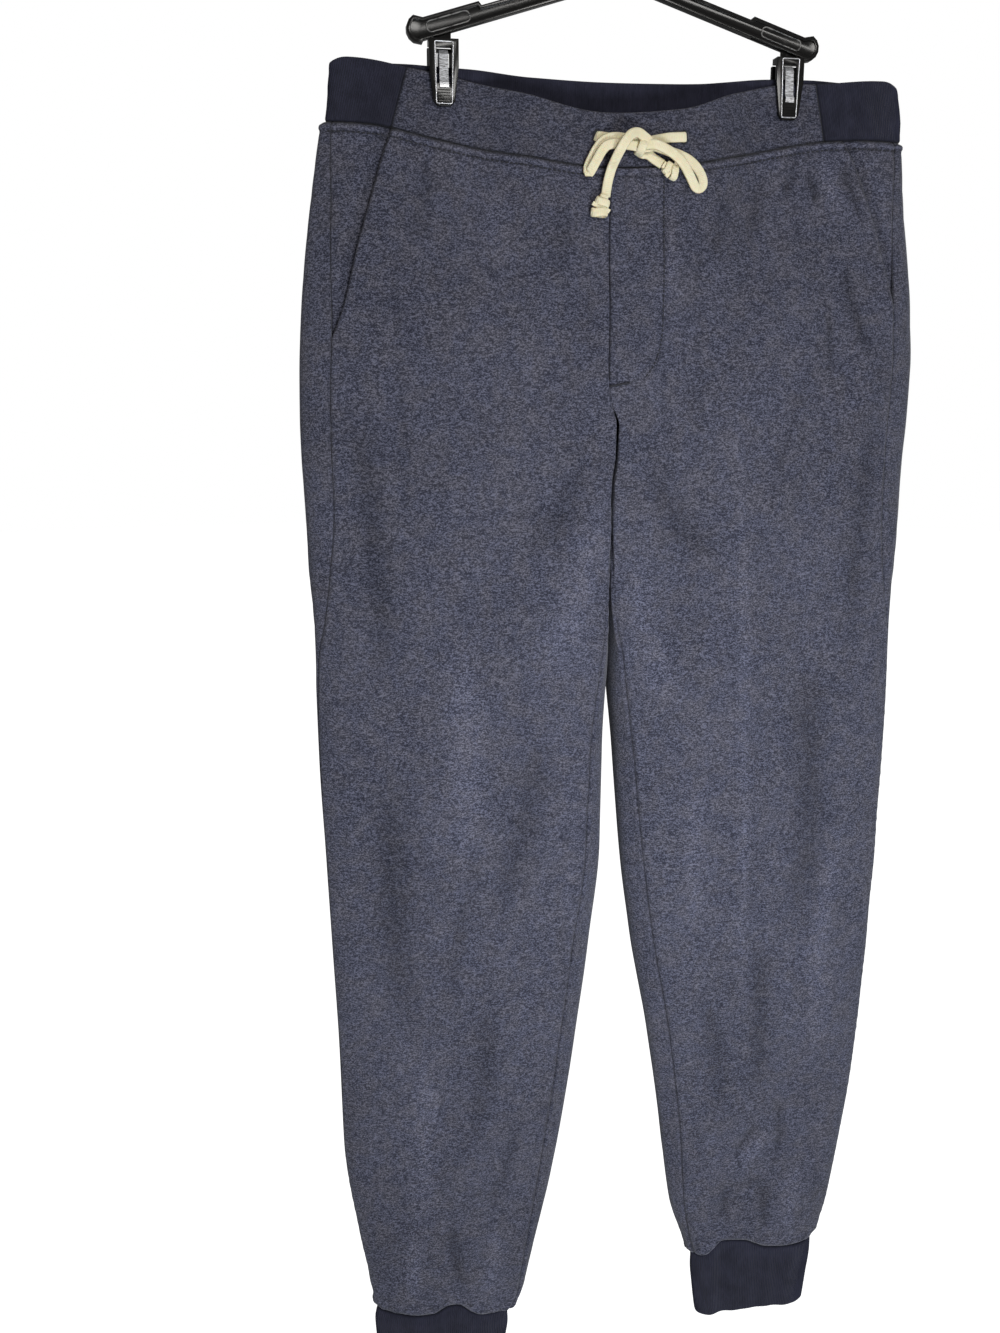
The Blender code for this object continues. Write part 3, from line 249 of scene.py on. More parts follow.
# The hidden side hangs in like folds.
BACK_CREASES = rows_of(Crease, (
    (-150, 90, -158, 300, 3.0, 12.0, -1.5), (140, 96, 152, 320, -3.0, 13.0, -1.6),
    (-60, 96, -48, 190, 3.0, 10.0, 1.0), (62, 88, 50, 206, -3.0, 11.0, 1.1),
    (-100, 70, -96, 130, 2.0, 7.0, -0.9), (96, 66, 90, 122, 2.0, 7.0, -0.9),
    (-24, 236, -96, 322, 10.0, 10.0, -1.6), (20, 240, 92, 330, -10.0, 11.0, -1.7),
    (-40, 282, -120, 352, 9.0, 10.0, 1.4), (38, 290, 116, 360, -9.0, 10.0, 1.3),
    (-112, 400, -104, 640, 6.0, 15.0, 1.7), (108, 420, 118, 660, -6.0, 15.0, 1.8),
    (-168, 430, -164, 620, 4.0, 10.0, -1.1), (176, 400, 168, 600, -4.0, 10.0, -1.1),
    (-60, 470, -78, 600, 4.0, 9.0, -0.9), (58, 480, 70, 620, -4.0, 9.0, -0.9),
    (-150, 690, -128, 742, 5.0, 8.0, -1.3), (150, 676, 126, 730, -5.0, 8.0, -1.3),
    (-124, 730, -90, 760, 4.0, 8.0, 1.2), (122, 744, 92, 776, -4.0, 8.0, 1.2),
    (-140, 810, -132, 930, 3.0, 8.0, -1.3), (142, 820, 134, 936, -3.0, 8.0, -1.3),
    (-108, 850, -112, 940, 2.0, 6.0, 1.1), (110, 846, 112, 938, 2.0, 6.0, 1.1),
))
WAVE_COUNT = 22           # broad gentle waves of the whole cloth
WAVE_HEIGHT = 0.42
WAVE_SEED = 5

SEAM_DIP = 1.3            # how far an edge rolls in at a seam
SEAM_ROLL = 2.0           # over this distance
STITCH_LINE = 6.2         # topstitching, from the waist seam
HEM_STITCH_LINE = 6.5     # and from the hem seam
ELASTIC_STITCH_LINE = 21.0    # along the middle of the waistband's rib, from its top
WAIST_STITCH_ENDS = ((-12.5, -204.0), (-11.0, 204.0))   # of the topstitching on the right and the left leg
HEM_STITCH_ENDS = ((-88.0, -184.0), (88.0, 184.0))
BUTTONHOLES = ((-21.8, 46.4), (40.6, 44.9))   # across and below the waist's top
SLOT_HALVES = (1.2, 3.4)  # half the width and height of a buttonhole's slot
BUTTONHOLE_HALVES = (2.7, 5.0)    # and of its ring of stitches
CREASE_SHADE = 0.34       # painted shade in a crease for each millimetre of its depth, and painted highlight on a ridge
CORNER_JUTS = {"left": 1.5, "right": 0.2}   # of each leg's outer corner below the rib
RIB_DRAWN_IN = 3.0        # how far the seam draws in the rib's corner on the wearer's right
DEEPEST_ROLL = 1.7        # of an edge; the cloth keeps some thickness there
CORNER_ROUND = 5.0        # how far the waist's upper corners are rounded off
WAIST_CORNER = 207.0      # from the centre line; the drawing in and the rounding end here
DRAW_START = 158.0
ROUND_START = 186.0

# Rows and columns lie close together at these distances from an edge.
EDGE_PLACES = (0.0, 0.5, 1.1, 1.9, 2.9, 4.1, 5.5, 7.2, 9.2)
ROW_STEP = 3.2
LEG_COLUMNS = 62
BACK_COLUMNS = 70


# ---------------------------------------------------------------- what a user would change
class JoggerSettings(bpy.types.PropertyGroup):
    """Sizes and colours of the joggers, the drawstring and the hanger"""
    cloth: FloatProperty(
        name="Fleece thickness", description="Thickness of the body cloth",
        default=0.002, min=0.001, max=0.004, unit="LENGTH")
    doubled: FloatProperty(
        name="Doubled thickness", description="Thickness of the waistband and the cuffs",
        default=0.0024, min=0.001, max=0.005, unit="LENGTH")
    rib_pitch: FloatProperty(
        name="Rib pitch", description="Distance between two ribs of the knit",
        default=0.0016, min=0.001, max=0.004, unit="LENGTH")
    rib_height: FloatProperty(
        name="Rib height", description="How far a rib stands out",
        default=0.0003, min=0.0, max=0.001, unit="LENGTH")
    stitch_length: FloatProperty(
        name="Stitch length", description="Length of one stitch that shows",
        default=0.0022, min=0.001, max=0.005, unit="LENGTH")
    stitch_pitch: FloatProperty(
        name="Stitch pitch", description="Distance from one stitch to the next",
        default=0.0033, min=0.0015, max=0.006, unit="LENGTH")
    thread: FloatProperty(
        name="Thread", description="Diameter of the sewing thread",
        default=0.0010, min=0.0003, max=0.0015, unit="LENGTH")
    cord_width: FloatProperty(
        name="Cord width", description="Width of the flat drawstring",
        default=0.0068, min=0.004, max=0.012, unit="LENGTH")
    cord_thickness: FloatProperty(
        name="Cord thickness", description="Thickness of the flat drawstring",
        default=0.0026, min=0.001, max=0.004, unit="LENGTH")
    fleece_dark: FloatVectorProperty(
        name="Fleece dark yarn", description="Ground colour of the heather fleece",
        subtype="COLOR", size=3, default=(0.021, 0.022, 0.033), min=0, max=1)
    fleece_light: FloatVectorProperty(
        name="Fleece light yarn", description="Flecks of the heather fleece",
        subtype="COLOR", size=3, default=(0.150, 0.152, 0.196), min=0, max=1)
    rib_colour: FloatVectorProperty(
        name="Rib", description="Colour of the rib knit",
        subtype="COLOR", size=3, default=(0.0185, 0.0187, 0.031), min=0, max=1)
    thread_colour: FloatVectorProperty(
        name="Thread colour", description="Colour of the topstitching",
        subtype="COLOR", size=3, default=(0.008, 0.008, 0.013), min=0, max=1)
    cord_colour: FloatVectorProperty(
        name="Drawstring", description="Colour of the cotton cord",
        subtype="COLOR", size=3, default=(0.95, 0.87, 0.63), min=0, max=1)
    plastic_colour: FloatVectorProperty(
        name="Hanger plastic", description="Colour of the hanger and the clips",
        subtype="COLOR", size=3, default=(0.008, 0.0075, 0.007), min=0, max=1)


def settings():
    """The joggers' sizes and colours in this scene."""
    return bpy.context.scene.joggers


# ---------------------------------------------------------------- curves through tables
def smooth(knots, values, at):
    """Cubic through the values that never overshoots them."""
    knots = np.asarray(knots, float)
    values = np.asarray(values, float)
    steps = np.diff(knots)
    slopes = np.diff(values) / steps
    bends = np.zeros(len(knots))
    bends[0], bends[-1] = slopes[0], slopes[-1]
    for i in range(1, len(knots) - 1):
        if slopes[i - 1] * slopes[i] > 0:
            w1 = 2 * steps[i] + steps[i - 1]
            w2 = steps[i] + 2 * steps[i - 1]
            bends[i] = (w1 + w2) / (w1 / slopes[i - 1] + w2 / slopes[i])
    at = np.clip(np.asarray(at, float), knots[0], knots[-1])
    i = np.clip(np.searchsorted(knots, at) - 1, 0, len(steps) - 1)
    t = (at - knots[i]) / steps[i]
    return ((2 * t**3 - 3 * t**2 + 1) * values[i] + (t**3 - 2 * t**2 + t) * steps[i] * bends[i]
            + (3 * t**2 - 2 * t**3) * values[i + 1] + (t**3 - t**2) * steps[i] * bends[i + 1])


def column(table, key, name, at):
    """Value of one named column of a table at a position along its key."""
    return smooth([getattr(row, key) for row in table], [getattr(row, name) for row in table], at)


def ease(start, end, value):
    """0 before start, 1 after end, smooth between."""
    t = np.clip((np.asarray(value, float) - start) / (end - start), 0.0, 1.0)
    return t * t * (3 - 2 * t)


def bell(offset, width):
    """1 at offset 0, falling off to either side."""
    return np.exp(-(offset / width) ** 2)


def ripple(t, seed, period, count=4):
    """Uneven wave of about height 1 along a seam."""
    chance = np.random.default_rng(seed)
    total = np.zeros(np.shape(t))
    for _ in range(count):
        length = period * chance.uniform(0.6, 1.7)
        total = total + np.sin(2 * math.pi * (np.asarray(t) / length + chance.uniform()))
    return total / math.sqrt(count)


def running_length(points):
    """How far along a line of points each one is."""
    return np.concatenate(((0,), np.cumsum(np.linalg.norm(np.diff(points, axis=0), axis=1))))


def unit(vectors):
    """The vectors at length 1."""
    return vectors / np.maximum(np.linalg.norm(vectors, axis=-1, keepdims=True), 1e-9)


# ---------------------------------------------------------------- the garment's surface
def side_name(side):
    """The wearer's left is at +X, side 1, and the right at -X, side -1."""
    return "left" if side > 0 else "right"


def pinch(x, down):
    """How far the clips press the cloth together: 1 in the jaws, 0 away from them."""
    weight = np.zeros(np.shape(x))
    for clip in CLIP_X:
        weight = np.maximum(weight, 1 - ease(CLIP_FLAT, CLIP_SPREAD, np.abs(x - clip)))
    return weight * (1 - ease(BAND_HEIGHT - 6, CLIP_REACH, down))


def fold_heights(x, down):
    """Height of the largest folds on the front."""
    height = np.zeros(np.shape(x))
    for fold in FOLDS:
        along = np.array((fold.x1 - fold.x0, fold.down1 - fold.down0), float)
        length = np.hypot(*along)
        along /= length
        t = (x - fold.x0) * along[0] + (down - fold.down0) * along[1]
        off = (x - fold.x0) * along[1] - (down - fold.down0) * along[0]
        fade = ease(-0.15 * length, 0.25 * length, t) * (1 - ease(0.75 * length, 1.15 * length, t))
        height = height + fold.height * fade * bell(off, fold.width)
    return height


def crease_heights(creases, x, down):
    """Height of the fine creases, each along a bowed line."""
    height = np.zeros(np.shape(x))
    for crease in creases:
        dx, dd = crease.x1 - crease.x0, crease.down1 - crease.down0
        length = math.hypot(dx, dd)
        t = ((x - crease.x0) * dx + (down - crease.down0) * dd) / length**2
        off = ((x - crease.x0) * dd - (down - crease.down0) * dx) / length - crease.bow * 4 * t * (1 - t)
        fade = ease(-0.12, 0.22, t) * (1 - ease(0.7, 1.12, t))
        height = height + crease.height * fade * bell(off, crease.width)
    return height


def wave_heights(x, down, seed):
    """Broad gentle waves, longer down the leg than across it."""
    chance = np.random.default_rng(seed)
    height = np.zeros(np.shape(x))
    for _ in range(WAVE_COUNT):
        across = chance.uniform(38, 120)
        along = chance.uniform(70, 260)
        lean = chance.uniform(-0.5, 0.5)
        phase = chance.uniform(0, 2 * math.pi)
        height = height + np.sin(2 * math.pi * ((x + lean * down) / across + down / along) + phase)
    return WAVE_HEIGHT * height / math.sqrt(WAVE_COUNT / 4)


def drop(x, front, down):
    """Sag of the waist and arch of the hem; front says which side of the section each point is on."""
    seam = np.where(front, column(SAG, "across", "front_seam", x), column(SAG, "across", "back_seam", x))
    if down < BAND_HEIGHT:
        top = np.where(front, column(SAG, "across", "front_top", x), column(SAG, "across", "back_top", x))
        sag = top + (seam - top) * down / BAND_HEIGHT
    else:
        sag = seam * (1 - ease(BAND_HEIGHT, SAG_ENDS, down))
    low = ease(*FOOT_ROWS, down)
    hem = column(HEM_LINE, "across", "seam", x) * (1 - low) + column(HEM_LINE, "across", "foot", x) * low
    return sag + hem * ease(*HEM_ROWS, down)


class Loop:
    """One leg's section at one height, from its inner edge forwards and round to the inner edge again."""

    def __init__(self, side, down, shape=None):
        self.side = side
        self.down = down
        name = side_name(side)
        if shape is None:
            shape = [column(SECTIONS, "down", key, down) for key in
                     (name + "_out", name + "_in", "front", "back", "inner_round")]
            shape[1] += SEAM_GAP / 2
        outer, inner, front, back, inner_round = shape
        width = outer - inner
        round_out = min(OUTER_ROUND, 0.52 * width)
        round_in = min(inner_round, 0.48 * width)
        turn = np.linspace(0, math.pi / 2, CORNER_STEPS)
        rise = np.abs(np.sin(turn)) ** (2 / SQUARENESS)
        run = 1 - np.abs(np.cos(turn)) ** (2 / SQUARENESS)
        middle = np.linspace(inner + round_in, outer - round_out, MIDDLE_STEPS)[1:-1]
        across = np.concatenate((inner + round_in * run, middle, (outer - round_out * run)[::-1]))
        depth = np.concatenate((rise, np.ones(len(middle)), rise[::-1]))
        u = np.concatenate((across, across[::-1][1:]))
        v = np.concatenate((-front * depth, (back * depth)[::-1][1:]))
        self.x = side * u
        press = pinch(self.x, down)
        v = v * (1 - press) + np.sign(v) * np.minimum(np.abs(v), CLIPPED_DEPTH) * press
        facing_front = np.clip(-v / max(front, 1e-6), 0, 1) ** 1.5
        self.y = v - fold_heights(self.x, down) * facing_front * (1 - press)
        self.corner = CORNER_STEPS - 1
        self.outer_index = len(across) - 1
        self.back_corner = len(u) - CORNER_STEPS
        self.arc = np.concatenate(((0,), np.cumsum(np.hypot(np.diff(self.x), np.diff(self.y)))))
        self.length = self.arc[-1]

    def front_arc(self, distance):
        """Place on the front where the section is this far from the centre line."""
        part = slice(self.corner, self.outer_index + 1)
        return np.interp(distance, self.side * self.x[part], self.arc[part])

    def depth_arc(self, depth):
        """Place on the inner wall at a depth: past the inner edge on the front, below 0 on the back."""
        if depth < 0:
            part = slice(0, self.corner + 1)
            return np.interp(-depth, -self.y[part], self.arc[part])
        part = slice(self.back_corner, None)
        return np.interp(-depth, -self.y[part], self.arc[part]) - self.length

    def at(self, places):
        """Points at places along the section."""
        wrapped = np.where(places > self.length, places - self.length, places)
        x = np.interp(wrapped, self.arc, self.x)
        y = np.interp(wrapped, self.arc, self.y)
        z = WAIST_TOP - self.down + drop(x, y < 0, self.down)
        return np.stack((x + CENTRE_X, y, z), axis=-1)


def seam_arcs(loop):
    """Where the front starts, where the pieces part at the side, and where the back ends."""
    side = loop.arc[loop.outer_index] - column(SEAMS, "down", "side", loop.down)
    if loop.down <= FOLD_START:
        return loop.arc[loop.corner], side, loop.arc[loop.back_corner]
    if loop.down < CROTCH:
        front = loop.depth_arc(float(column(RISE, "down", "front", loop.down)))
        back = loop.depth_arc(float(column(RISE, "down", "back", loop.down)))
        return front, side, loop.length + back
    inseam = column(SEAMS, "down", "inseam", loop.down)
    return inseam + SEAM_GAP / 2, side, loop.length + inseam - SEAM_GAP / 2


def places_between(start, end, count):
    """Places from edge to edge, close together at both edges."""
    edge = np.array(EDGE_PLACES) * min(1.0, (end - start) / (2.6 * EDGE_PLACES[-1]))
    middle = np.linspace(start + edge[-1], end - edge[-1], count)
    return np.concatenate((start + edge[:-1], middle, (end - edge[:-1])[::-1]))


def rows_between(top, bottom, step=ROW_STEP):
    """Heights of a piece's rows, about a step apart and closer at its upper and lower edge."""
    count = max(2, int(round((bottom - top - 2 * EDGE_PLACES[-1]) / step)) + 1)
    return places_between(top, bottom, count)


def grid_normals(points, outwards, closed=False):
    """Unit normals of a grid of points; outwards is 1 or -1 for the way its columns run."""
    down = np.gradient(points, axis=0)
    if closed:
        across = np.roll(points, -1, axis=1) - np.roll(points, 1, axis=1)
    else:
        across = np.gradient(points, axis=1)
    return unit(np.cross(across, down)) * outwards


def roll_in(distance, depth=SEAM_DIP, reach=SEAM_ROLL):
    """How far a sewn edge turns in, by the distance from it."""
    return -depth * (1 - np.clip(distance / reach, 0, 1)) ** 2


def swell(distance, start, end, height):
    """Raised strip between two distances from an edge."""
    rise = (end - start) * 0.35
    return height * ease(start, start + rise, distance) * (1 - ease(end - rise, end, distance))


def fold_round(distance, thickness):
    """How far a folded edge of doubled cloth rounds over."""
    radius = thickness / 2
    t = np.clip(1 - distance / radius, 0, 1)
    return -radius * (1 - np.sqrt(np.maximum(0.0, 1 - t**2))) * 0.92


# ---------------------------------------------------------------- meshes
HARD_ANGLE = 35           # degrees; sharper edges of hard parts stay crisp
SOFT_ANGLE = 50
STITCH_ANGLE = 180
PALEST = -0.6             # limits of a piece's painted shade and highlight
DARKEST = 0.92


def add_object(name, mesh, finish, smooth_angle=SOFT_ANGLE):
    """Object in the collection, shaded smooth, with its finish, on the body."""
    mesh.materials.append(finish_of(finish))
    mesh.shade_smooth()
    mesh.set_sharp_from_angle(angle=math.radians(smooth_angle))
    item = bpy.data.objects.new(name, mesh)
    bpy.context.collection.objects.link(item)
    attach(item, BODY)
    return item


def shell_mesh(name, outer, inner, flip, shade, closed):
    """Cloth wall between two grids of points in millimetres, darker or paler where shade says.

    flip turns its faces the other way, and closed joins its last column to its first.
    """
    rows, columns = outer.shape[:2]
    count = rows * columns
    index = np.arange(count).reshape(rows, columns)
    if closed:
        index = np.concatenate((index, index[:, :1]), axis=1)
    quads = np.stack((index[:-1, :-1], index[:-1, 1:], index[1:, 1:], index[1:, :-1]), axis=-1).reshape(-1, 4)
    faces = [quads, quads[:, ::-1] + count]
    rims = [index[0][::-1], index[-1]]
    if not closed:
        rims += [index[:, 0], index[:, -1][::-1]]
    for rim in rims:
        a, b = rim[:-1], rim[1:]
        faces.append(np.stack((a, b, b + count, a + count), axis=-1))
    faces = np.concatenate(faces)
    if flip:
        faces = faces[:, ::-1]
    points = np.concatenate((outer.reshape(-1, 3), inner.reshape(-1, 3))) * MM
    mesh = mesh_of(name, points, faces)
    both_sides = np.tile(np.clip(shade, PALEST, DARKEST).ravel(), 2)
    keep_measure(mesh, "shade", both_sides)
    return mesh


def keep_measure(mesh, name, values):
    """Keeps a value for each point, which a finish reads by its name."""
    mesh.attributes.new(name, "FLOAT", "POINT").data.foreach_set("value", values.astype(np.float32))


def mesh_of(name, points, faces):
    """Mesh of points in metres and faces that all have as many corners."""
    mesh = bpy.data.meshes.new(name)
    corners = faces.shape[1]
    mesh.vertices.add(len(points))
    mesh.vertices.foreach_set("co", np.ascontiguousarray(points, np.float32).ravel())
    mesh.loops.add(faces.size)
    mesh.loops.foreach_set("vertex_index", np.ascontiguousarray(faces, np.int32).ravel())
    mesh.polygons.add(len(faces))
    mesh.polygons.foreach_set("loop_start", np.arange(len(faces), dtype=np.int32) * corners)
    mesh.update(calc_edges=True)
    mesh.validate()
    return mesh


def join_tubes(name, tubes):
    """One mesh of several tubes, each given as rings and whether it has caps."""
    bm = bmesh.new()
    for rings, caps in tubes:
        loops = [[bm.verts.new(p) for p in ring] for ring in rings]
        pairs = list(zip(loops, loops[1:]))
        if not caps:
            pairs.append((loops[-1], loops[0]))
        for a, b in pairs:
            for k in range(len(a)):
                m = (k + 1) % len(a)
                bm.faces.new((a[k], a[m], b[m], b[k]))
        if caps:
            bm.faces.new(loops[0][::-1])
            bm.faces.new(loops[-1])
    bmesh.ops.recalc_face_normals(bm, faces=bm.faces)
    mesh = bpy.data.meshes.new(name)
    bm.to_mesh(mesh)
    bm.free()
    return mesh


# ---------------------------------------------------------------- finishes
class Wire:
    """A socket that takes part in sums; each operator adds a Math node."""

    def __init__(self, paint, socket):
        self.paint = paint
        self.socket = socket

    def maths(self, operation, first, second):
        """Wire of one sum of two values or wires."""
        return self.paint.node("ShaderNodeMath", {"operation": operation}, {0: first, 1: second})

    def __add__(self, other):
        return self.maths("ADD", self, other)

    def __radd__(self, other):
        return self.maths("ADD", other, self)

    def __sub__(self, other):
        return self.maths("SUBTRACT", self, other)

    def __rsub__(self, other):
        return self.maths("SUBTRACT", other, self)

    def __mul__(self, other):
        return self.maths("MULTIPLY", self, other)

    def __rmul__(self, other):
        return self.maths("MULTIPLY", other, self)


class Paint:
    """A material, the nodes added to it and what feeds its shader."""

    def __init__(self, name, **constants):
        self.material = bpy.data.materials.new(name)
        self.material.use_nodes = True
        self.tree = self.material.node_tree
        self.shader = self.tree.nodes["Principled BSDF"]
        for socket, value in constants.items():
            self.shader.inputs[socket.replace("_", " ")].default_value = value

    def node(self, kind, options=None, sockets=None, output=0):
        """Node of a type, with its settings first and then the values or links of its sockets."""
        made = self.tree.nodes.new(kind)
        for key, value in (options or {}).items():
            if key == "stops":
                ramp = made.color_ramp.elements
                while len(ramp) < len(value):
                    ramp.new(1.0)
                for element, (position, colour) in zip(ramp, value):
                    element.position = position
                    element.color = (*colour, 1.0)
            else:
                setattr(made, key, value)
        for key, value in (sockets or {}).items():
            self.feed(made.inputs[key], value)
        return Wire(self, made.outputs[output])

    def feed(self, socket, value):
        """Links a wire to a socket, or sets its value: one number fills a vector, a colour gets its alpha."""
        if isinstance(value, Wire):
            self.tree.links.new(value.socket, socket)
        elif hasattr(socket.default_value, "__len__") and not hasattr(value, "__len__"):
            socket.default_value = (value,) * len(socket.default_value)
        elif socket.type == "RGBA" and len(value) == 3:
            socket.default_value = (*value, 1.0)
        else:
            socket.default_value = value

    def place(self, scale=(1, 1, 1), rotation=(0, 0, 0)):
        """Place on the object in metres, stretched and turned."""
        where = self.node("ShaderNodeTexCoord", output=3)
        return self.node("ShaderNodeMapping", {}, {"Vector": where, "Scale": scale, "Rotation": rotation})

    def noise(self, where, scale, detail=2.0, roughness=0.5, distortion=0.0):
        """Cloudy pattern, with as many waves to the metre as its scale says."""
        return self.node("ShaderNodeTexNoise", {}, {"Vector": where, "Scale": scale, "Detail": detail,
                                                    "Roughness": roughness, "Distortion": distortion})

    def remap(self, value, low, high, to_low=0.0, to_high=1.0):
        """Value eased from one range into another."""
        return self.node("ShaderNodeMapRange", {"interpolation_type": "SMOOTHSTEP"}, {
            "Value": value, "From Min": low, "From Max": high, "To Min": to_low, "To Max": to_high})

    def mix(self, factor, first, second, blend="MIX"):
        """Colour between two colours."""
        return self.node("ShaderNodeMix", {"data_type": "RGBA", "blend_type": blend},
                         {0: factor, 6: first, 7: second}, output=2)

    def colour(self, value):
        """Colour of the surface."""
        self.feed(self.shader.inputs["Base Color"], value)

    def rough(self, value):
        """Roughness of the surface."""
        self.feed(self.shader.inputs["Roughness"], value)

    def bump(self, height, distance, strength=1.0, before=None):
        """Relief of the surface, laid over the one before it."""
        sockets = {"Height": height, "Distance": distance, "Strength": strength}
        if before is not None:
            sockets["Normal"] = before
        made = self.node("ShaderNodeBump", {}, sockets)
        self.feed(self.shader.inputs["Normal"], made)
        return made


FINISHES = {}


def finish_of(name):
    """Material made once and shared by the pieces of one finish."""
    if name not in FINISHES:
        makers = {"fleece": fleece, "rib": rib_knit, "thread": thread, "cord": cotton_cord,
                  "plastic": hanger_plastic, "rubbed": rubbed_plastic,
                  "steel": spring_steel, "wire": hook_wire}
        FINISHES[name] = makers[name]()
    return FINISHES[name]


def shaded(paint, tone):
    """Colour scaled by the piece's shade: painted shade in seams and creases, painted highlight on raised
    strips and ridges, paler at hem and cuff folds.
    """
    shade = paint.node("ShaderNodeAttribute", {"attribute_name": "shade"}, output=2)
    return paint.node("ShaderNodeVectorMath", {"operation": "SCALE"}, {0: tone, "Scale": 1.0 - shade})


def fleece():
    """Heather fleece: dark ground with short light flecks, cloudy patches and a brushed surface."""
    sizes = settings()
    paint = Paint("heather_fleece", Roughness=0.95, Sheen_Weight=0.18, Sheen_Roughness=0.5,
                  Specular_IOR_Level=0.15)
    yarn = paint.place((0.8, 1.0, 1.1), (0.0, math.radians(-24), 0.0))
    plain = paint.place()
    flecks = paint.noise(yarn, 980, 2.0, 0.6, 0.5)
    short = paint.noise(yarn, 2000, 1.0, 0.5)
    slubs = paint.noise(paint.place((0.45, 0.8, 1.5), (0.0, math.radians(-32), 0.0)), 620, 2.0, 0.6, 0.8)
    clouds = paint.noise(plain, 70, 3.0, 0.6, 0.4)
    drifts = paint.noise(plain, 15, 2.0, 0.5)
    light = paint.remap(flecks + (short - 0.5) * 0.45 + (slubs - 0.5) * 0.6, 0.38, 0.70)
    shade = (clouds - 0.5) * 0.24 + (drifts - 0.5) * 0.22
    amount = paint.node("ShaderNodeClamp", {}, {"Value": light * 0.86 + shade + 0.06})
    ground = paint.mix(amount, tuple(sizes.fleece_dark), tuple(sizes.fleece_light))
    warm = paint.mix(paint.remap(clouds, 0.35, 0.68), (0.97, 0.98, 1.06), (1.04, 1.0, 0.98))
    paint.colour(shaded(paint, paint.mix(1.0, ground, warm, "MULTIPLY")))
    pile = paint.bump(flecks * 0.7 + short * 0.3, 0.0004, 0.5)
    paint.bump(paint.noise(plain, 210, 3.0, 0.6), 0.0006, 0.35, pile)
    return paint.material


def rib_knit():
    """Fine rib knit, matte, a little worn and dusty on its raised ribs."""
    sizes = settings()
    paint = Paint("navy_rib", Roughness=0.92, Sheen_Weight=0.14, Sheen_Roughness=0.45,
                  Specular_IOR_Level=0.15)
    plain = paint.place()
    stretched = paint.place((1.6, 1.6, 0.35))
    clouds = paint.noise(plain, 70, 3.0, 0.55)
    streaks = paint.noise(stretched, 420, 2.0, 0.55)
    lint = paint.remap(paint.noise(plain, 620, 2.0, 0.5, 1.5), 0.72, 0.80)
    base = tuple(sizes.rib_colour)
    lighter = tuple(1.7 * c for c in base)
    cloth = paint.mix(paint.remap(clouds * 0.6 + streaks * 0.4, 0.3, 0.7), base, lighter)
    paint.colour(shaded(paint, paint.mix(lint * 0.25, cloth, (0.14, 0.14, 0.16))))
    paint.bump(streaks * 0.6 + paint.noise(plain, 900, 1.0) * 0.4, 0.0003, 0.3)
    return paint.material


def thread():
    """Twisted sewing thread, a little darker than the cloth."""
    paint = Paint("sewing_thread", Roughness=0.6, Sheen_Weight=0.1)
    twist = paint.noise(paint.place(), 2600, 1.0)
    base = tuple(settings().thread_colour)
    paint.colour(paint.mix(twist, base, tuple(1.9 * c for c in base)))
    return paint.material


def cotton_cord():
    """Flat braided cotton: fine lengthwise plaits with a soft, slightly soiled surface, painted shade in the
    plaits' grooves and along both edges.
    """
    paint = Paint("cream_cord", Roughness=0.85, Sheen_Weight=0.15, Sheen_Roughness=0.5,
                  Specular_IOR_Level=0.25, Subsurface_Weight=0.08, Subsurface_Scale=0.002)
    along = paint.node("ShaderNodeAttribute", {"attribute_name": "along"}, output=2)
    across = paint.node("ShaderNodeAttribute", {"attribute_name": "across"}, output=2)
    lean = paint.node("ShaderNodeMath", {"operation": "SINE"}, {0: along * 5.2 + across * 7.0})
    other = paint.node("ShaderNodeMath", {"operation": "SINE"}, {0: along * 5.2 - across * 7.0})
    plait = paint.node("ShaderNodeMath", {"operation": "MAXIMUM"}, {0: lean, 1: other})
    soil = paint.noise(paint.place(), 150, 3.0, 0.6)
    fibre = paint.noise(paint.place(), 1900, 2.0, 0.6)
    base = tuple(settings().cord_colour)
    # soiled colour, painted shade in the plaits' grooves, and painted shade along both edges
    soiled, groove_painted_shade, edge_painted_shade = (tuple(c * k for c, k in zip(base, share)) for share in (
        (0.95, 0.93, 0.86), (0.86, 0.80, 0.68), (0.42, 0.36, 0.26)))
    tone = paint.mix(paint.remap(soil, 0.3, 0.7), base, soiled)
    # painted shade in the plaits' grooves, broken up by fibre noise
    woven = paint.mix(paint.remap(plait * 0.35 + fibre * 0.3, -0.1, 0.35, 0.4, 0.0), tone, groove_painted_shade)
    # painted shade along both rounded edges of the cord
    edge = paint.remap(paint.node("ShaderNodeMath", {"operation": "ABSOLUTE"}, {0: across}), 0.37, 0.45)
    paint.colour(paint.mix(edge * 0.75, woven, edge_painted_shade))
    paint.bump(plait * 0.5 + fibre * 0.5, 0.0004, 0.5)
    return paint.material


def hanger_plastic():
    """Moulded black plastic with a faint grain and rubbed edges."""
    paint = Paint("black_plastic", Specular_IOR_Level=0.26)
    plain = paint.place()
    grain = paint.noise(plain, 1400, 2.0, 0.5)
    rubbed = paint.remap(paint.noise(plain, 90, 4.0, 0.65), 0.52, 0.75)
    base = tuple(settings().plastic_colour)
    paint.colour(paint.mix(rubbed * 0.4, base, tuple(2.2 * c for c in base)))
    paint.rough(paint.remap(rubbed * 0.6 + grain * 0.4, 0.1, 0.9, 0.16, 0.30))
    paint.bump(grain, 0.0001, 0.1)
    return paint.material


def rubbed_plastic():
    """The same plastic where handling has polished its raised rims."""
    paint = Paint("rubbed_plastic", Specular_IOR_Level=0.6)
    worn = paint.noise(paint.place(), 240, 3.0, 0.6)
    paint.colour(paint.mix(paint.remap(worn, 0.35, 0.65), (0.03, 0.03, 0.03), (0.24, 0.23, 0.22)))
    paint.rough(paint.remap(worn, 0.3, 0.7, 0.2, 0.35))
    return paint.material


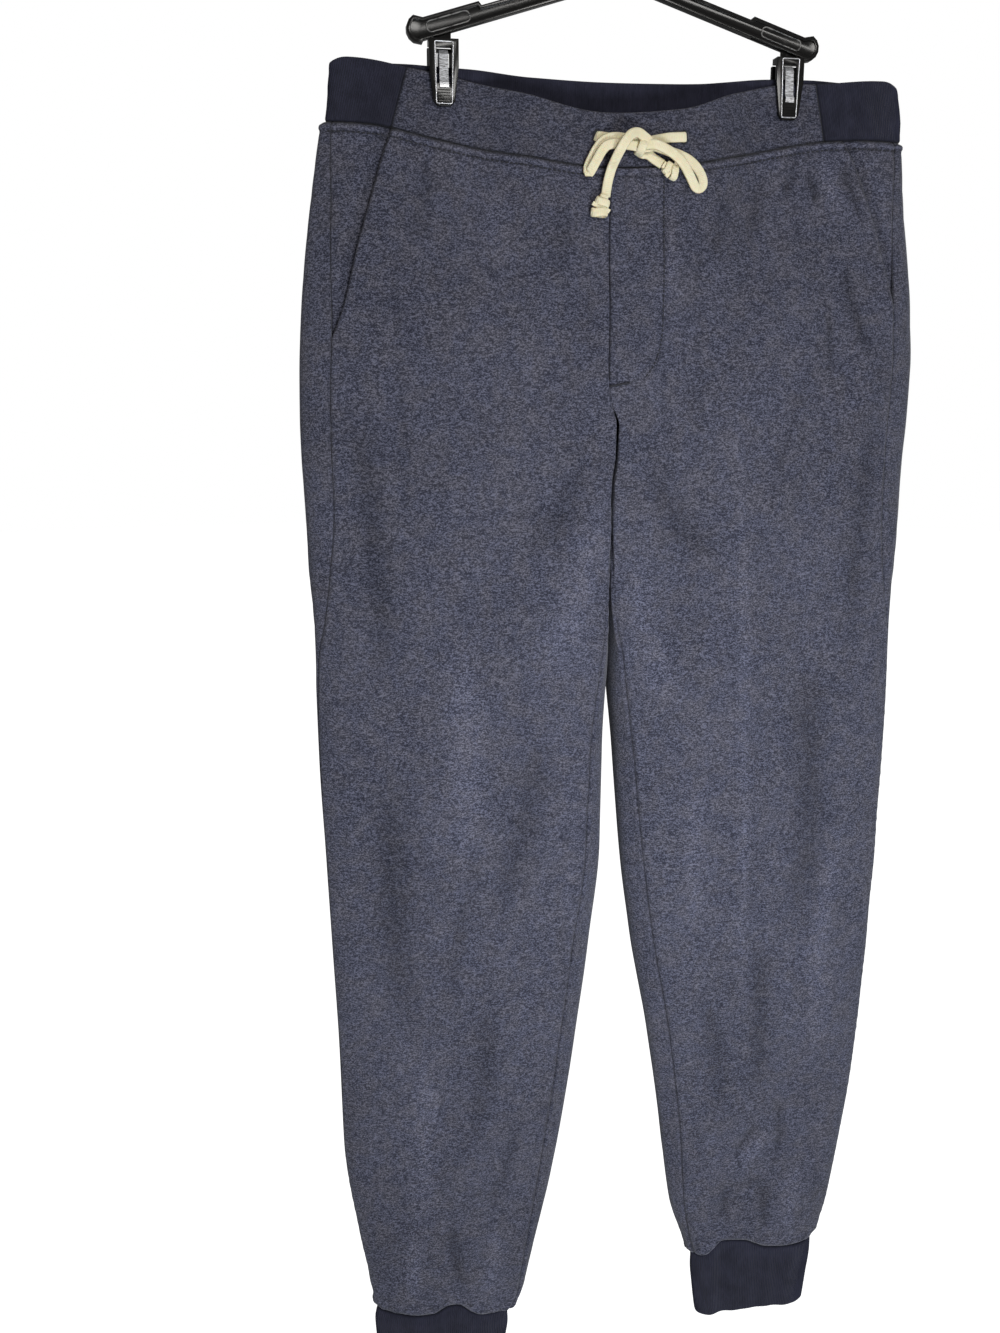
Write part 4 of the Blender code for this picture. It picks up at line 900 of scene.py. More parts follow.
def spring_steel():
    """Bright plated strip, rubbed and a little dull."""
    paint = Paint("spring_steel", Metallic=0.6)
    brushed = paint.noise(paint.place((1, 1, 9)), 300, 3.0, 0.65)
    paint.colour(paint.mix(paint.remap(brushed, 0.35, 0.62), (0.34, 0.33, 0.33), (0.92, 0.93, 0.97)))
    paint.rough(paint.remap(brushed, 0.2, 0.8, 0.22, 0.42))
    return paint.material


def hook_wire():
    """Bright wire, dulled in patches by handling."""
    paint = Paint("hook_wire", Metallic=1.0)
    worn = paint.noise(paint.place(), 160, 3.0, 0.6)
    paint.colour(paint.mix(worn, (0.6, 0.6, 0.61), (0.76, 0.76, 0.75)))
    paint.rough(paint.remap(worn, 0.3, 0.75, 0.12, 0.26))
    return paint.material


# ---------------------------------------------------------------- cloth pieces
Cut = namedtuple("Cut", "width length area")


def sew(name, node, finish, outer, inner, flip, shade, closed=False):
    """Cloth piece between its outer and inner points; hides the solid it stands for."""
    item = add_object(name, shell_mesh(name, outer, inner, flip, shade, closed), finish)
    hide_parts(node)


def cloth_form(points, normals, downs):
    """Height of creases and waves over a grid of a leg's points, and painted highlight on crease ridges,
    negative for painted shade in their troughs.
    """
    x = points[..., 0] - CENTRE_X
    down = np.broadcast_to(np.asarray(downs)[:, None], x.shape)
    front = np.clip(-normals[..., 1], 0, 1) ** 1.5
    back = np.clip(normals[..., 1], 0, 1) ** 1.5
    creases = front * crease_heights(FRONT_CREASES, x, down)
    creases = creases + 0.5 * back * crease_heights(BACK_CREASES, x, down)
    waves = front * wave_heights(x, down, WAVE_SEED) + 1.3 * back * wave_heights(x, down, WAVE_SEED + 1)
    fade = ease(BAND_HEIGHT, BAND_HEIGHT + 22, down) * (1 - ease(LEG_END - 30, LEG_END, down))
    return (creases + waves) * fade, CREASE_SHADE * creases * fade


def waist_edge(distance, along, seed):
    """Top of a leg: it rolls into the seam, swells and is drawn in by the topstitching."""
    form = roll_in(distance, 1.7, 1.8) + swell(distance, 0.9, STITCH_LINE, 0.95)
    form = form - 0.5 * bell(distance - STITCH_LINE, 1.0)
    return form + 0.2 * ripple(along, seed, 9.0) * bell(distance, 8.0)


def waist_shade(distance):
    """Painted shade in the waist seam and along the topstitching, painted highlight on the raised strip
    between.
    """
    line = 0.75 * bell(distance, 1.0) + 0.60 * bell(distance - STITCH_LINE, 0.8)
    return line - 0.20 * bell(distance - 3.6, 1.3)


def hem_edge(distance, along, seed):
    """Foot of a leg: fuller than the cuff it is sewn to, so it puckers above the seam."""
    gather = ripple(along, seed, 13.0) * (1 - ease(3.0, 30.0, distance))
    puckers = 0.6 * gather * ease(0.0, 3.0, distance)
    return roll_in(distance, 2.0, 2.6) + swell(distance, 0.8, 9.0, 0.9) + puckers


def seam_shade(distance, depth=0.22, width=0.8):
    """Painted shade beside a seam or along a stitched groove, darkest on it."""
    return depth * bell(distance, width)


def leg_grid(side, kind, downs):
    """Points of a leg's front or back, runs along the rows, and 1 for rows that end at a pocket mouth."""
    points, runs, mouths = [], [], []
    for down in downs:
        loop = Loop(side, down)
        first, parting, last = seam_arcs(loop)
        start, end = first, parting - SEAM_GAP / 2
        mouth = 0.0
        if kind == "front" and down < POCKET_END:
            edge = loop.front_arc(column(POCKET_MOUTHS, "down", side_name(side), down))
            if edge < end:
                mouth = 1.0
                end = edge - SEAM_GAP / 2
        if kind == "back":
            start, end = parting + SEAM_GAP / 2, last
        places = places_between(start, end, LEG_COLUMNS if kind == "front" else BACK_COLUMNS)
        points.append(loop.at(places))
        runs.append(places)
        mouths.append(mouth)
    return np.array(points), np.array(runs), np.array(mouths)[:, None]


def leg_piece(side, kind):
    """Front or back of one leg, from the waist seam to the hem."""
    name = side_name(side)
    outwards = -side
    downs = rows_between(BAND_HEIGHT - SEAM_LAP, LEG_END + SEAM_LAP)
    points, runs, mouth = leg_grid(side, kind, downs)
    normals = grid_normals(points, outwards)
    form, paler = cloth_form(points, normals, downs)
    down = np.broadcast_to(downs[:, None], runs.shape)
    from_start = runs - runs[:, :1]
    from_end = runs[:, -1:] - runs
    from_top = down - downs[0]
    from_hem = downs[-1] - down
    below_fly = ease(FOLD_START, FOLD_START + 14, down) if kind == "front" else 1.0
    below_crotch = ease(CROTCH - 4, CROTCH + 30, down)
    from_inseam = from_start if kind == "front" else from_end
    inseam_width = 6.0 if kind == "front" else 3.5
    seed = 11 + (3 if side > 0 else 0) + (7 if kind == "back" else 0)

    rim = waist_edge(from_top, runs, seed) + hem_edge(from_hem, runs, seed + 1)
    rim = rim + CORNER_JUTS[name] * ease(0.0, 2.5, from_top) * np.exp(-from_top / 26.0) * normals[..., 0] ** 2
    sewn_end = roll_in(from_end, 0.7, 1.3) + 0.15 * ripple(down, seed + 2, 8.0) * bell(from_end, 5.0)
    sewn_end = sewn_end + swell(from_end, 0.9, 5.0, 0.3)
    free_end = roll_in(from_end, 0.9, 1.2) + swell(from_end, 0.6, 7.5, 0.45)
    rim = rim + np.where(mouth > 0, free_end, sewn_end)
    rim = rim + roll_in(from_start, 0.6, 1.3) * (0.3 + 0.7 * below_fly)
    rim = rim + below_crotch * swell(from_inseam, 0.9, inseam_width, 0.55)
    rim = rim + 0.18 * below_crotch * ripple(down, seed + 3, 9.0) * bell(from_inseam, 7.0)
    rim = np.maximum(rim, -DEEPEST_ROLL)

    # Painted shade in the waist and hem seams, along both edges, deeper at a pocket mouth and beside the
    # inseam's raised strip; painted highlight under the waist seam and on crease ridges; paler just above the
    # hem seam.
    shade = waist_shade(from_top) - 0.38 * bell(from_hem - 1.6, 1.4) + seam_shade(from_hem, 0.4, 0.5)
    shade = shade + seam_shade(from_start) * below_fly + seam_shade(from_end, 0.22 + 0.25 * mouth)
    shade = shade + 0.08 * below_crotch * bell(from_inseam - 6.5, 0.8) - paler

    outer = points + normals * (form + rim)[..., None]
    inner = points + normals * (np.minimum(form, 0.4) - settings().cloth / MM)[..., None]
    sew(kind + "_cloth_" + name, kind + "_leg_" + name, "fleece", outer, inner, outwards < 0, shade)


def pocket_facing(side):
    """Cloth behind a pocket mouth, from the side seam to just under the front's edge."""
    name = side_name(side)
    cloth = settings().cloth / MM
    under = cloth + FACING_GAP
    downs = rows_between(BAND_HEIGHT - SEAM_LAP, POCKET_END, 2.6)
    points, runs, depths = [], [], []
    for down in downs:
        loop = Loop(side, down)
        parting = seam_arcs(loop)[1] - SEAM_GAP / 2
        edge = min(loop.front_arc(column(POCKET_MOUTHS, "down", name, down)), parting) - SEAM_GAP / 2
        shown = min(edge + 1.2, parting)
        tucked = np.linspace(edge - 12, edge - 0.3, 6)
        places = np.concatenate((tucked, places_between(shown, parting + 0.001, 16)))
        points.append(loop.at(places))
        runs.append(places)
        depths.append(under * (1 - ease(0.0, FACING_SLOPE, places - shown)))
    points, runs, depths = np.array(points), np.array(runs), np.array(depths)
    normals = grid_normals(points, -side)
    down = np.broadcast_to(downs[:, None], runs.shape)
    form, paler = cloth_form(points, normals, downs)
    from_top = down - downs[0]
    from_side = runs[:, -1:] - runs
    sunk = ease(0.0, 1.0, depths / under)
    rim = (waist_edge(from_top, runs, 31 + side) + roll_in(from_side, 0.9)) * (1 - sunk)
    outer = points + normals * (form * (1 - sunk) + np.minimum(form, 0) * sunk + rim - depths)[..., None]
    inner = points + normals * (np.minimum(form, 0) - depths - cloth)[..., None]
    # Painted shade and highlight of the waist seam, painted shade at the side seam and where the facing lies
    # sunk under the front's edge, and the creases' painted light.
    shade = waist_shade(from_top) + seam_shade(from_side) + 0.2 * sunk**2 - paler
    sew("facing_cloth_" + name, "pocket_facing_" + name, "fleece", outer, inner, side > 0, shade)


def front_surface(x, down):
    """Points of the front at places across and down, and how high its creases and waves stand there."""
    x, down = np.broadcast_arrays(np.asarray(x, float), np.asarray(down, float))
    points = np.zeros(x.shape + (3,))
    for index in np.ndindex(x.shape):
        side = 1 if x[index] >= FLY_EDGE else -1
        loop = Loop(side, down[index])
        points[index] = loop.at(np.array([loop.front_arc(side * x[index])]))[0]
    form = crease_heights(FRONT_CREASES, x, down) + wave_heights(x, down, WAVE_SEED)
    form = form * ease(BAND_HEIGHT, BAND_HEIGHT + 22, down)
    return points, form


def fly_width(down):
    """Width of the mock fly: even down to its straight part's end, then curved in to its foot."""
    foot = np.clip((down - FLY_STRAIGHT_END) / (FLY_BOTTOM - FLY_STRAIGHT_END), 0, 1)
    return FLY_WIDTH * (0.52 + 0.48 * math.sqrt(1 - foot**2))


def fly_placket():
    """Mock fly laid on the wearer's left front, straight at the centre and curved in at its foot."""
    downs = rows_between(FLY_TOP, FLY_BOTTOM, 2.8)
    outer, inner, shade = [], [], []
    for down in downs:
        across = places_between(FLY_EDGE, FLY_EDGE + fly_width(down), 12)
        points, form = front_surface(across, down)
        left = across - across[0]
        right = across[-1] - across
        ends = np.minimum(down - downs[0], downs[-1] - down)
        lift = form + SEAM_GAP + FLY_THICK * (0.4 + 0.6 * ease(0, 9, right))
        lift = lift + roll_in(left, 0.6, 1.0) + roll_in(right, 0.35, 1.6) + roll_in(ends, 0.5, 1.2)
        lift = lift - 0.3 * bell(right - FLY_STITCH_LINE, 0.8)
        # Painted shade along both edges of the fly and its stitching line, and the waist seam's painted shade
        # and highlight.
        shade.append(seam_shade(left, 0.4, 0.8) + seam_shade(right, 0.15, 0.8)
                     + 0.2 * bell(right - FLY_STITCH_LINE, 0.7) + waist_shade(max(0.0, down - BAND_HEIGHT)))
        outer.append(points + FORWARDS * lift[:, None])
        inner.append(points + FORWARDS * (form + 0.1)[:, None])
    sew("fly_cloth", "fly_placket", "fleece", np.array(outer), np.array(inner), True, np.array(shade))


def band_row(down, right_places, left_places):
    """Points of a waistband row from the right section to the left one."""
    right, left = Loop(-1, down), Loop(1, down)
    return np.concatenate((right.at(right_places(right)), left.at(left_places(left))))


def waistband_front():
    """Front of the waistband, doubled, between the two ribs."""
    gap = SEAM_GAP / 2
    downs = rows_between(0.0, BAND_HEIGHT + SEAM_LAP, 2.4)
    rows = []
    for down in downs:
        t = down / BAND_HEIGHT
        edges = [RIB_EDGE_TOP[k] * (1 - t) + RIB_EDGE_SEAM[k] * t - gap for k in (0, 1)]
        x = places_between(-edges[0], edges[1], 118)
        rows.append(band_row(down, lambda loop: loop.front_arc(-x[x < FLY_EDGE]),
                             lambda loop: loop.front_arc(x[x >= FLY_EDGE])))
    points = np.array(rows)
    normals = grid_normals(points, -1)
    run = points[..., 0]
    down = np.broadcast_to(downs[:, None], run.shape)
    thick = settings().doubled / MM
    ends = np.minimum(run - run[:, :1], run[:, -1:] - run)
    form = 0.22 * ripple(run, 51, 46.0) + 0.12 * ripple(run + 0.4 * down, 52, 21.0)
    form = form * ease(0.0, 8.0, down)
    from_seam = downs[-1] - down
    rim = roll_in(from_seam, 1.4, 1.7) + roll_in(ends, 0.7, 1.2)
    rim = rim + 0.15 * ripple(run, 53, 8.0) * bell(from_seam, 5)
    # Painted shade along the seam and at both ends; the whole band a little darker.
    shade = seam_shade(from_seam, 0.7, 1.0) + seam_shade(ends, 0.4, 0.8) + 0.16
    crease = 0.25 * bell(down - 7.0, 2.2)
    fold = fold_round(down, thick)
    outer = points + normals * (form + rim + fold - crease * 0.5)[..., None]
    inner = points + normals * (np.minimum(form, 0) - thick - fold)[..., None]
    sew("band_front_cloth", "waistband_front", "fleece", outer, inner, True, shade)


def waistband_rib():
    """Side and back of the waistband: rib knit in one piece, gathered a little by its elastic."""
    gap = SEAM_GAP / 2
    downs = rows_between(0.0, BAND_HEIGHT + SEAM_LAP, 4.2)
    pitch = settings().rib_pitch / MM
    whole = Loop(-1, 0.5 * BAND_HEIGHT), Loop(1, 0.5 * BAND_HEIGHT)
    starts = [loop.front_arc((RIB_EDGE_TOP[k] + RIB_EDGE_SEAM[k]) / 2) for k, loop in enumerate(whole)]
    spans = [loop.arc[loop.back_corner] - start for loop, start in zip(whole, starts)]
    counts = [int(span / pitch) * 4 for span in spans]
    rows = []
    for down in downs:
        t = down / BAND_HEIGHT
        parts = []
        for k, side in enumerate((-1, 1)):
            loop = Loop(side, down)
            start = loop.front_arc(RIB_EDGE_TOP[k] * (1 - t) + RIB_EDGE_SEAM[k] * t + gap)
            places = np.linspace(start, loop.arc[loop.back_corner], counts[k], endpoint=False)
            parts.append(loop.at(places) if k == 0 else loop.at(places)[::-1])
        rows.append(np.concatenate(parts))
    points = np.array(rows)
    across = points[..., 0] - CENTRE_X
    points[..., 0] += RIB_DRAWN_IN * ease(DRAW_START, WAIST_CORNER, -across) * (downs / BAND_HEIGHT)[:, None]
    near_corner = ease(ROUND_START, WAIST_CORNER, np.abs(across))
    points[..., 2] -= CORNER_ROUND * near_corner**2 * (1 - ease(0.0, 16.0, downs))[:, None]
    normals = grid_normals(points, 1)
    columns = points.shape[1]
    ribs = np.cos(np.arange(columns) * math.pi / 2) * settings().rib_height / MM
    down = np.broadcast_to(downs[:, None], points.shape[:2])
    run = np.arange(columns) * pitch / 4
    along = np.broadcast_to(run[None], points.shape[:2])
    thick = settings().doubled / MM
    ends = np.minimum(along, along[:, ::-1])
    form = 0.3 * ripple(along, 61, 30.0) + 0.18 * ripple(along + 0.3 * down, 62, 12.0)
    form = form + 0.45 * ripple(down + 0.04 * along, 63, 27.0)
    form = form * ease(0.0, 8.0, down) - 0.4 * bell(down - ELASTIC_STITCH_LINE, 2.0)
    fold = fold_round(down, thick)
    from_seam = downs[-1] - down
    rim = roll_in(from_seam, 1.5, 1.9) + roll_in(ends, 0.6, 1.2)
    # Painted shade along the seam, at both ends and along the elastic's stitching.
    shade = seam_shade(from_seam, 0.7, 1.2) + seam_shade(ends, 0.4, 1.0)
    shade = shade + seam_shade(down - ELASTIC_STITCH_LINE, 0.22, 1.6)
    shown = ease(0.4, 3.0, np.minimum(down, from_seam))
    outer = points + normals * (form + rim + fold + ribs[None] * (0.4 + 0.6 * shown))[..., None]
    inner = points + normals * (np.minimum(form, 0) - thick - fold + ribs[None] * 0.6 * shown)[..., None]
    sew("band_rib_cloth", "waistband_rib", "rib", outer, inner, False, shade)


def cuff(side):
    """Rib tube below one leg's hem, doubled, with a folded lower edge."""
    name = "cuff_" + side_name(side)
    downs = rows_between(-SEAM_LAP, CUFF_HEIGHT, 3.4)
    pitch = settings().rib_pitch / MM
    table = CUFFS[side]
    rows = []
    count = None
    for below in downs:
        outer, inner, depth = [float(column(table, "below", key, below)) for key in Cuff._fields[1:]]
        loop = Loop(side, LEG_END + below, (outer, inner, depth, depth, CUFF_ROUND))
        if count is None:
            count = int(loop.length / pitch) * 4
        rows.append(loop.at(np.linspace(0, loop.length, count, endpoint=False) + 0.01))
    points = np.array(rows)
    normals = grid_normals(points, -side, closed=True)
    ribs = np.cos(np.arange(count) * math.pi / 2) * settings().rib_height / MM
    down = np.broadcast_to(downs[:, None], points.shape[:2])
    turn = np.arange(count) / count
    form = 0.0
    for k, (times, height) in enumerate(((5, 0.35), (9, 0.3), (14, 0.22))):
        wave = np.sin(2 * math.pi * (times * turn + 0.37 * k + 0.2 * side))
        form = form + height * wave[None] * ease(0, 12, down)
    thick = settings().doubled / MM
    from_edge = downs[-1] - down
    fold = fold_round(from_edge, thick)
    rim = roll_in(down, 1.6, 2.4)
    # Painted shade along the seam; paler along the folded lower edge.
    shade = seam_shade(down, 0.7, 1.6) - 0.12 * bell(from_edge, 1.5)
    shown = ease(0.4, 3.0, np.minimum(down, from_edge))
    outer = points + normals * (form + rim + fold + ribs[None] * (0.4 + 0.6 * shown))[..., None]
    inner = points + normals * (np.minimum(form, 0) - thick - fold + ribs[None] * 0.5 * shown)[..., None]
    sew(name + "_cloth", name, "rib", outer, inner, side > 0, shade, closed=True)


# ---------------------------------------------------------------- drawstring
# Listed points: across, below the waist's top, and lifted off the front.
EYELETS = {"right": (-22.0, 46.3, 0.4), "left": (40.6, 44.8, 0.4)}
LEAD_RIGHT = ((-21, 46.5, 2.0), (-15, 47, 2.0), (-8, 48.0, 2.0), (-2.2, 48.9, 2.0))
LEAD_LEFT = ((39.7, 44.9, 2.0), (30, 45.6, 2.0), (23, 46.8, 2.0), (17.6, 48.0, 2.1))
LOOP_RIGHT = (
    (-1.4, 48.4, 5.6), (-6.5, 47.4, 5.6), (-13, 47.6, 5.5), (-18.6, 50.0, 5.4), (-22.6, 55.0, 4.3),
    (-25.4, 60.5, 3.1), (-27.6, 65.5, 2.7), (-28.2, 69.0, 3.3), (-27.4, 70.2, 4.7), (-25.6, 67.0, 6.1),
    (-22.6, 61.5, 6.9), (-20.0, 56.8, 8.2), (-16.8, 53.4, 9.0), (-12.5, 52.2, 9.1), (-6.5, 52.2, 9.2),
    (-1.6, 52.4, 9.0))
LOOP_LEFT = ((16.8, 51.6, 9.6), (22.5, 53.4, 10.0), (31, 57.6, 9.8), (37.8, 63.0, 8.6), (43.0, 69.4, 6.4),
             (46.6, 74.6, 4.6), (48.6, 77.2, 3.8), (51.4, 78.2, 3.3), (54.0, 76.2, 3.1), (54.2, 72.6, 2.9),
             (52.4, 68.2, 2.8), (48.6, 63.4, 2.8), (43.6, 59.6, 2.9), (37.0, 56.8, 3.0), (30.0, 55.0, 3.8),
             (23.4, 53.4, 5.6), (17.0, 52.2, 6.0))
TAIL_RIGHT = (
    (12.6, 49.4, 8.8), (8.8, 46.8, 9.6), (4.4, 45.0, 11.4), (-0.6, 46.2, 14.0), (-4.6, 50.0, 15.0),
    (-8.0, 55.4, 14.6), (-10.6, 61.4, 11.0), (-12.4, 67.4, 6.4), (-13.9, 74.0, 4.2), (-15.0, 80.0, 3.8),
    (-15.8, 85.4, 3.8))
TAIL_LEFT = ((14.6, 57.0, 2.4), (18.6, 59.6, 2.4), (22.2, 61.8, 3.0), (24.4, 63.3, 3.8))
TURNS_RIGHT = (((3.0, 50.6, 3.0), (8.0, 51.0, 4.6), (5.0, 49.6, 5.6)),
               ((5.0, 53.0, 7.6), (11.0, 53.4, 7.0), (15.4, 52.4, 7.4)))
TURNS_LEFT = (((12.0, 49.6, 3.2), (7.0, 51.4, 5.4), (10.0, 51.8, 8.4)),
              ((11.0, 53.0, 5.2), (7.0, 54.6, 4.0), (9.6, 56.4, 2.8)))
BOW_MIDDLE = (8.4, 53.0, 5.2)
WRAP_REACH = (0.7, 5.4, 4.8)      # of the turn of cord round the bow's middle: sideways, forwards and up
WRAP_TILT = math.radians(14)
WRAP_CORD = (6.2, 2.6)    # its width and thickness
CORE_ENDS = (-1.5, 16.0)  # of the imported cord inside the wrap
CORE_PLACE = (51.4, 4.8)  # below the waist's top and lifted off the front
CORE_RISE = 0.05
CORE_CORD = (8.0, 7.0)
CORD_SIDES = 20
CORD_STEP = 1.1
EndKnot = namedtuple("EndKnot", "place tilt size")
END_KNOTS = {
    "right": EndKnot((-19.2, 92.8, 4.4), math.radians(16), 1.0),
    "left": EndKnot((30.6, 67.0, 4.4), math.radians(-58), 0.84),
}


def on_front(across, height, lift):
    """Point in front of the cloth at a place across and a real height below the waist's top, in metres."""
    down = height
    for _ in range(6):
        down = max(1.0, height + float(drop(np.array([across]), np.array([True]), down)[0]))
    side = 1 if across >= FLY_EDGE else -1
    loop = Loop(side, down)
    point = loop.at(np.array([loop.front_arc(side * across)]))[0]
    return np.array((point[0], point[1] - lift, WAIST_TOP - height)) * MM


def smooth_route(points, step):
    """Evenly spaced points on a smooth curve through the given ones, in metres."""
    controls = np.array(points)
    padded = np.concatenate(([2 * controls[0] - controls[1]], controls, [2 * controls[-1] - controls[-2]]))
    dense = []
    for p0, p1, p2, p3 in zip(padded, padded[1:], padded[2:], padded[3:]):
        t = np.linspace(0, 1, 14, endpoint=False)[:, None]
        dense.append(0.5 * (2 * p1 + (p2 - p0) * t + (2 * p0 - 5 * p1 + 4 * p2 - p3) * t**2
                            + (3 * p1 - p0 - 3 * p2 + p3) * t**3))
    dense = np.concatenate(dense + [controls[-1:]])
    lengths = running_length(dense)
    count = max(4, int(round(lengths[-1] / (step * MM))) + 1)
    wanted = np.linspace(0, lengths[-1], count)
    return np.stack([np.interp(wanted, lengths, dense[:, k]) for k in range(3)], axis=-1)


def flat_rings(route, width, thick, flat_on=FORWARDS, closed=False):
    """Rings of a flat cord with rounded edges along a route, its flat side turned towards flat_on."""
    if closed:
        ahead = unit(np.roll(route, -1, axis=0) - np.roll(route, 1, axis=0))
    else:
        ahead = unit(np.gradient(route, axis=0))
    facing = np.broadcast_to(flat_on, route.shape)
    out = facing - ahead * (facing * ahead).sum(axis=1, keepdims=True)
    weight = np.linalg.norm(out, axis=1)
    kept = out / np.maximum(weight, 1e-6)[:, None]
    for i in range(1, len(route)):
        carried = kept[i - 1] - ahead[i] * (kept[i - 1] @ ahead[i])
        blend = ease(0.15, 0.55, weight[i])
        if kept[i] @ carried < 0:
            kept[i] = -kept[i]
        kept[i] = unit(carried * (1 - blend) + kept[i] * blend)
    side = np.cross(kept, ahead)
    turn = np.linspace(0, 2 * math.pi, CORD_SIDES, endpoint=False)
    across = np.sign(np.cos(turn)) * np.abs(np.cos(turn)) ** 0.62
    up = np.sign(np.sin(turn)) * np.abs(np.sin(turn)) ** 0.8
    width = np.broadcast_to(width, len(route))[:, None, None]
    thick = np.broadcast_to(thick, len(route))[:, None, None]
    return (route[:, None] + side[:, None] * (across[None, :, None] * width / 2)
            + kept[:, None] * (up[None, :, None] * thick / 2))


def cord_mesh(name, tubes):
    """Joined flat tubes with their lengthwise and crosswise measure kept for the finish."""
    mesh = join_tubes(name, tubes)
    along, across = [], []
    turn = np.linspace(0, 2 * math.pi, CORD_SIDES, endpoint=False)
    for rings, _ in tubes:
        lengths = running_length(rings.mean(axis=1)) / MM
        along.append(np.repeat(lengths, rings.shape[1]))
        across.append(np.tile(np.cos(turn) * 0.45, len(rings)))
    keep_measure(mesh, "along", np.concatenate(along))
    keep_measure(mesh, "across", np.concatenate(across))
    return mesh


def draw_half(name, parts):
    """One half of the drawstring as a single flat cord, from its buttonhole to its end knot."""
    sizes = settings()
    controls = [on_front(*EYELETS[name])] + [on_front(*place) for part in parts for place in part]
    route = smooth_route(controls, CORD_STEP)
    rings = flat_rings(route, sizes.cord_width, sizes.cord_thickness)
    item = add_object("cord_" + name, cord_mesh("cord_" + name, [(rings, True)]), "cord")
    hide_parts("drawstring_lead_" + name, "drawstring_loop_" + name, "drawstring_tail_" + name)


def wrap_ring(centre, reach, depth, tilt, width):
    """Flat cord wound once round a strand."""
    turn = np.linspace(0, 2 * math.pi, 44, endpoint=False)
    ring = np.stack((reach * np.cos(turn), -depth * np.sin(turn), 0.4 * np.sin(2 * turn)), axis=-1)
    route = centre + (ring @ np.array(Matrix.Rotation(tilt, 3, "Y")).T) * MM
    return flat_rings(route, width * MM, 0.0025, flat_on=unit(route - centre), closed=True), False


def end_knot(name):
    """Knot that ends a tail: two turns of cord, one above the other, with two short ends between them."""
    place, tilt, size = END_KNOTS[name]
    centre = on_front(*place)
    lean = np.array(Matrix.Rotation(tilt, 3, "Y"))

    def spot(x, y, z):
        """Point of the knot from its leaning middle."""
        return centre + lean @ np.array((x, y, z)) * size * MM

    tubes = [wrap_ring(spot(0.0, 0.0, 3.7), 4.1 * size, 2.0, tilt + 0.12, 5.4 * size),
             wrap_ring(spot(-0.2, 0.2, -3.2), 4.8 * size, 2.3, tilt - 0.26, 6.2 * size)]
    core = np.array([spot(0.0, 0.0, z) for z in np.linspace(8.5, -6.0, 12)])
    tubes.append((flat_rings(core, 0.0064 * size, 0.0036), True))
    for side in (-1, 1):
        end = [spot(side * (2.0 + 4.6 * t), -0.4, 0.2 - 0.9 * side * t) for t in np.linspace(0, 1, 6)]
        tubes.append((flat_rings(np.array(end), 0.0030, 0.0018), True))
    item = add_object("end_knot_" + name, cord_mesh("end_knot_" + name, tubes), "cord")
    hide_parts("drawstring_end_knot_" + name)
    return item


def bow_knot():
    """Middle of the bow: a packed core and the cord wrapped round it."""
    centre = on_front(*BOW_MIDDLE)
    turn = np.linspace(0, 2 * math.pi, 48, endpoint=False)
    sideways, forwards, up = WRAP_REACH
    ring = np.stack((sideways * np.sin(turn + 0.6), forwards * np.cos(turn), up * np.sin(turn)), axis=-1)
    lean = np.array(Matrix.Rotation(WRAP_TILT, 3, "Y"))
    route = centre + (ring @ lean.T) * MM
    width, thick = (size * MM for size in WRAP_CORD)
    tubes = [(flat_rings(route, width, thick, flat_on=unit(route - centre), closed=True), False)]
    height, lift = CORE_PLACE
    core = np.array([on_front(x, height + CORE_RISE * x, lift) for x in np.linspace(*CORE_ENDS, 12)])
    width, thick = (size * MM * np.sin(np.linspace(0.35, math.pi - 0.35, 12)) for size in CORE_CORD)
    tubes.append((flat_rings(core, width, thick), True))
    item = add_object("drawstring_knot_wrap", cord_mesh("drawstring_knot_wrap", tubes), "cord")
    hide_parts("drawstring_knot")
    return item


# ---------------------------------------------------------------- stitching
def capsule_rings(start, end, radius):
    """Rings of one small stitch with rounded ends."""
    ahead = unit(end - start)
    helper = FORWARDS if abs(ahead[1]) < 0.9 else np.array((1.0, 0.0, 0.0))
    side = unit(np.cross(helper, ahead))
    out = np.cross(ahead, side)
    turn = np.linspace(0, 2 * math.pi, 6, endpoint=False)
    circle = np.cos(turn)[:, None] * side + np.sin(turn)[:, None] * out
    spans = ((0.0, 0.45), (0.14, 0.92), (0.5, 1.1), (0.86, 0.92), (1.0, 0.45))
    return [start + (end - start) * t + circle * radius * k for t, k in spans]


def stitch_tubes(line):
    """Stitches along a line of points on the cloth, in metres."""
    sizes = settings()
    lengths = running_length(line)
    tubes = []
    count = int(lengths[-1] / sizes.stitch_pitch)
    for k in range(count):
        start = (k + 0.2) * lengths[-1] / count
        ends = [np.array([np.interp(s, lengths, line[:, j]) for j in range(3)])
                for s in (start, start + sizes.stitch_length)]
        tubes.append((capsule_rings(ends[0], ends[1], sizes.thread / 2), True))
    return tubes


def leg_line(side, down, x_values, out, back=False):
    """Line across the fronts or the backs at one height, lifted by out."""
    loop = Loop(side, down)
    line = []
    for x in x_values:
        place = loop.front_arc(side * x)
        if back:
            part = slice(loop.outer_index, loop.back_corner + 1)
            place = np.interp(-side * x, -side * loop.x[part], loop.arc[part])
        point = loop.at(np.array([place]))[0]
        ahead = loop.at(np.array([place + 0.5]))[0] - loop.at(np.array([place - 0.5]))[0]
        normal = np.array((ahead[1], -ahead[0], 0.0)) * side
        line.append((point + normal / max(np.linalg.norm(normal), 1e-6) * out) * MM)
    return np.array(line)


def add_stitches(name, tubes):
    """Piece of thread from all the stitches of one row or group."""
    add_object(name, join_tubes(name, tubes), "thread", STITCH_ANGLE)


def topstitch(name, down, ends, count, out):
    """Row of stitches at one height, front and back, between two ends on each leg."""
    tubes = []
    for side, (start, end) in zip((-1, 1), ends):
        for back in (False, True):
            line = leg_line(side, down, np.linspace(start, end, count), out, back)
            tubes += stitch_tubes(line)
    add_stitches(name, tubes)


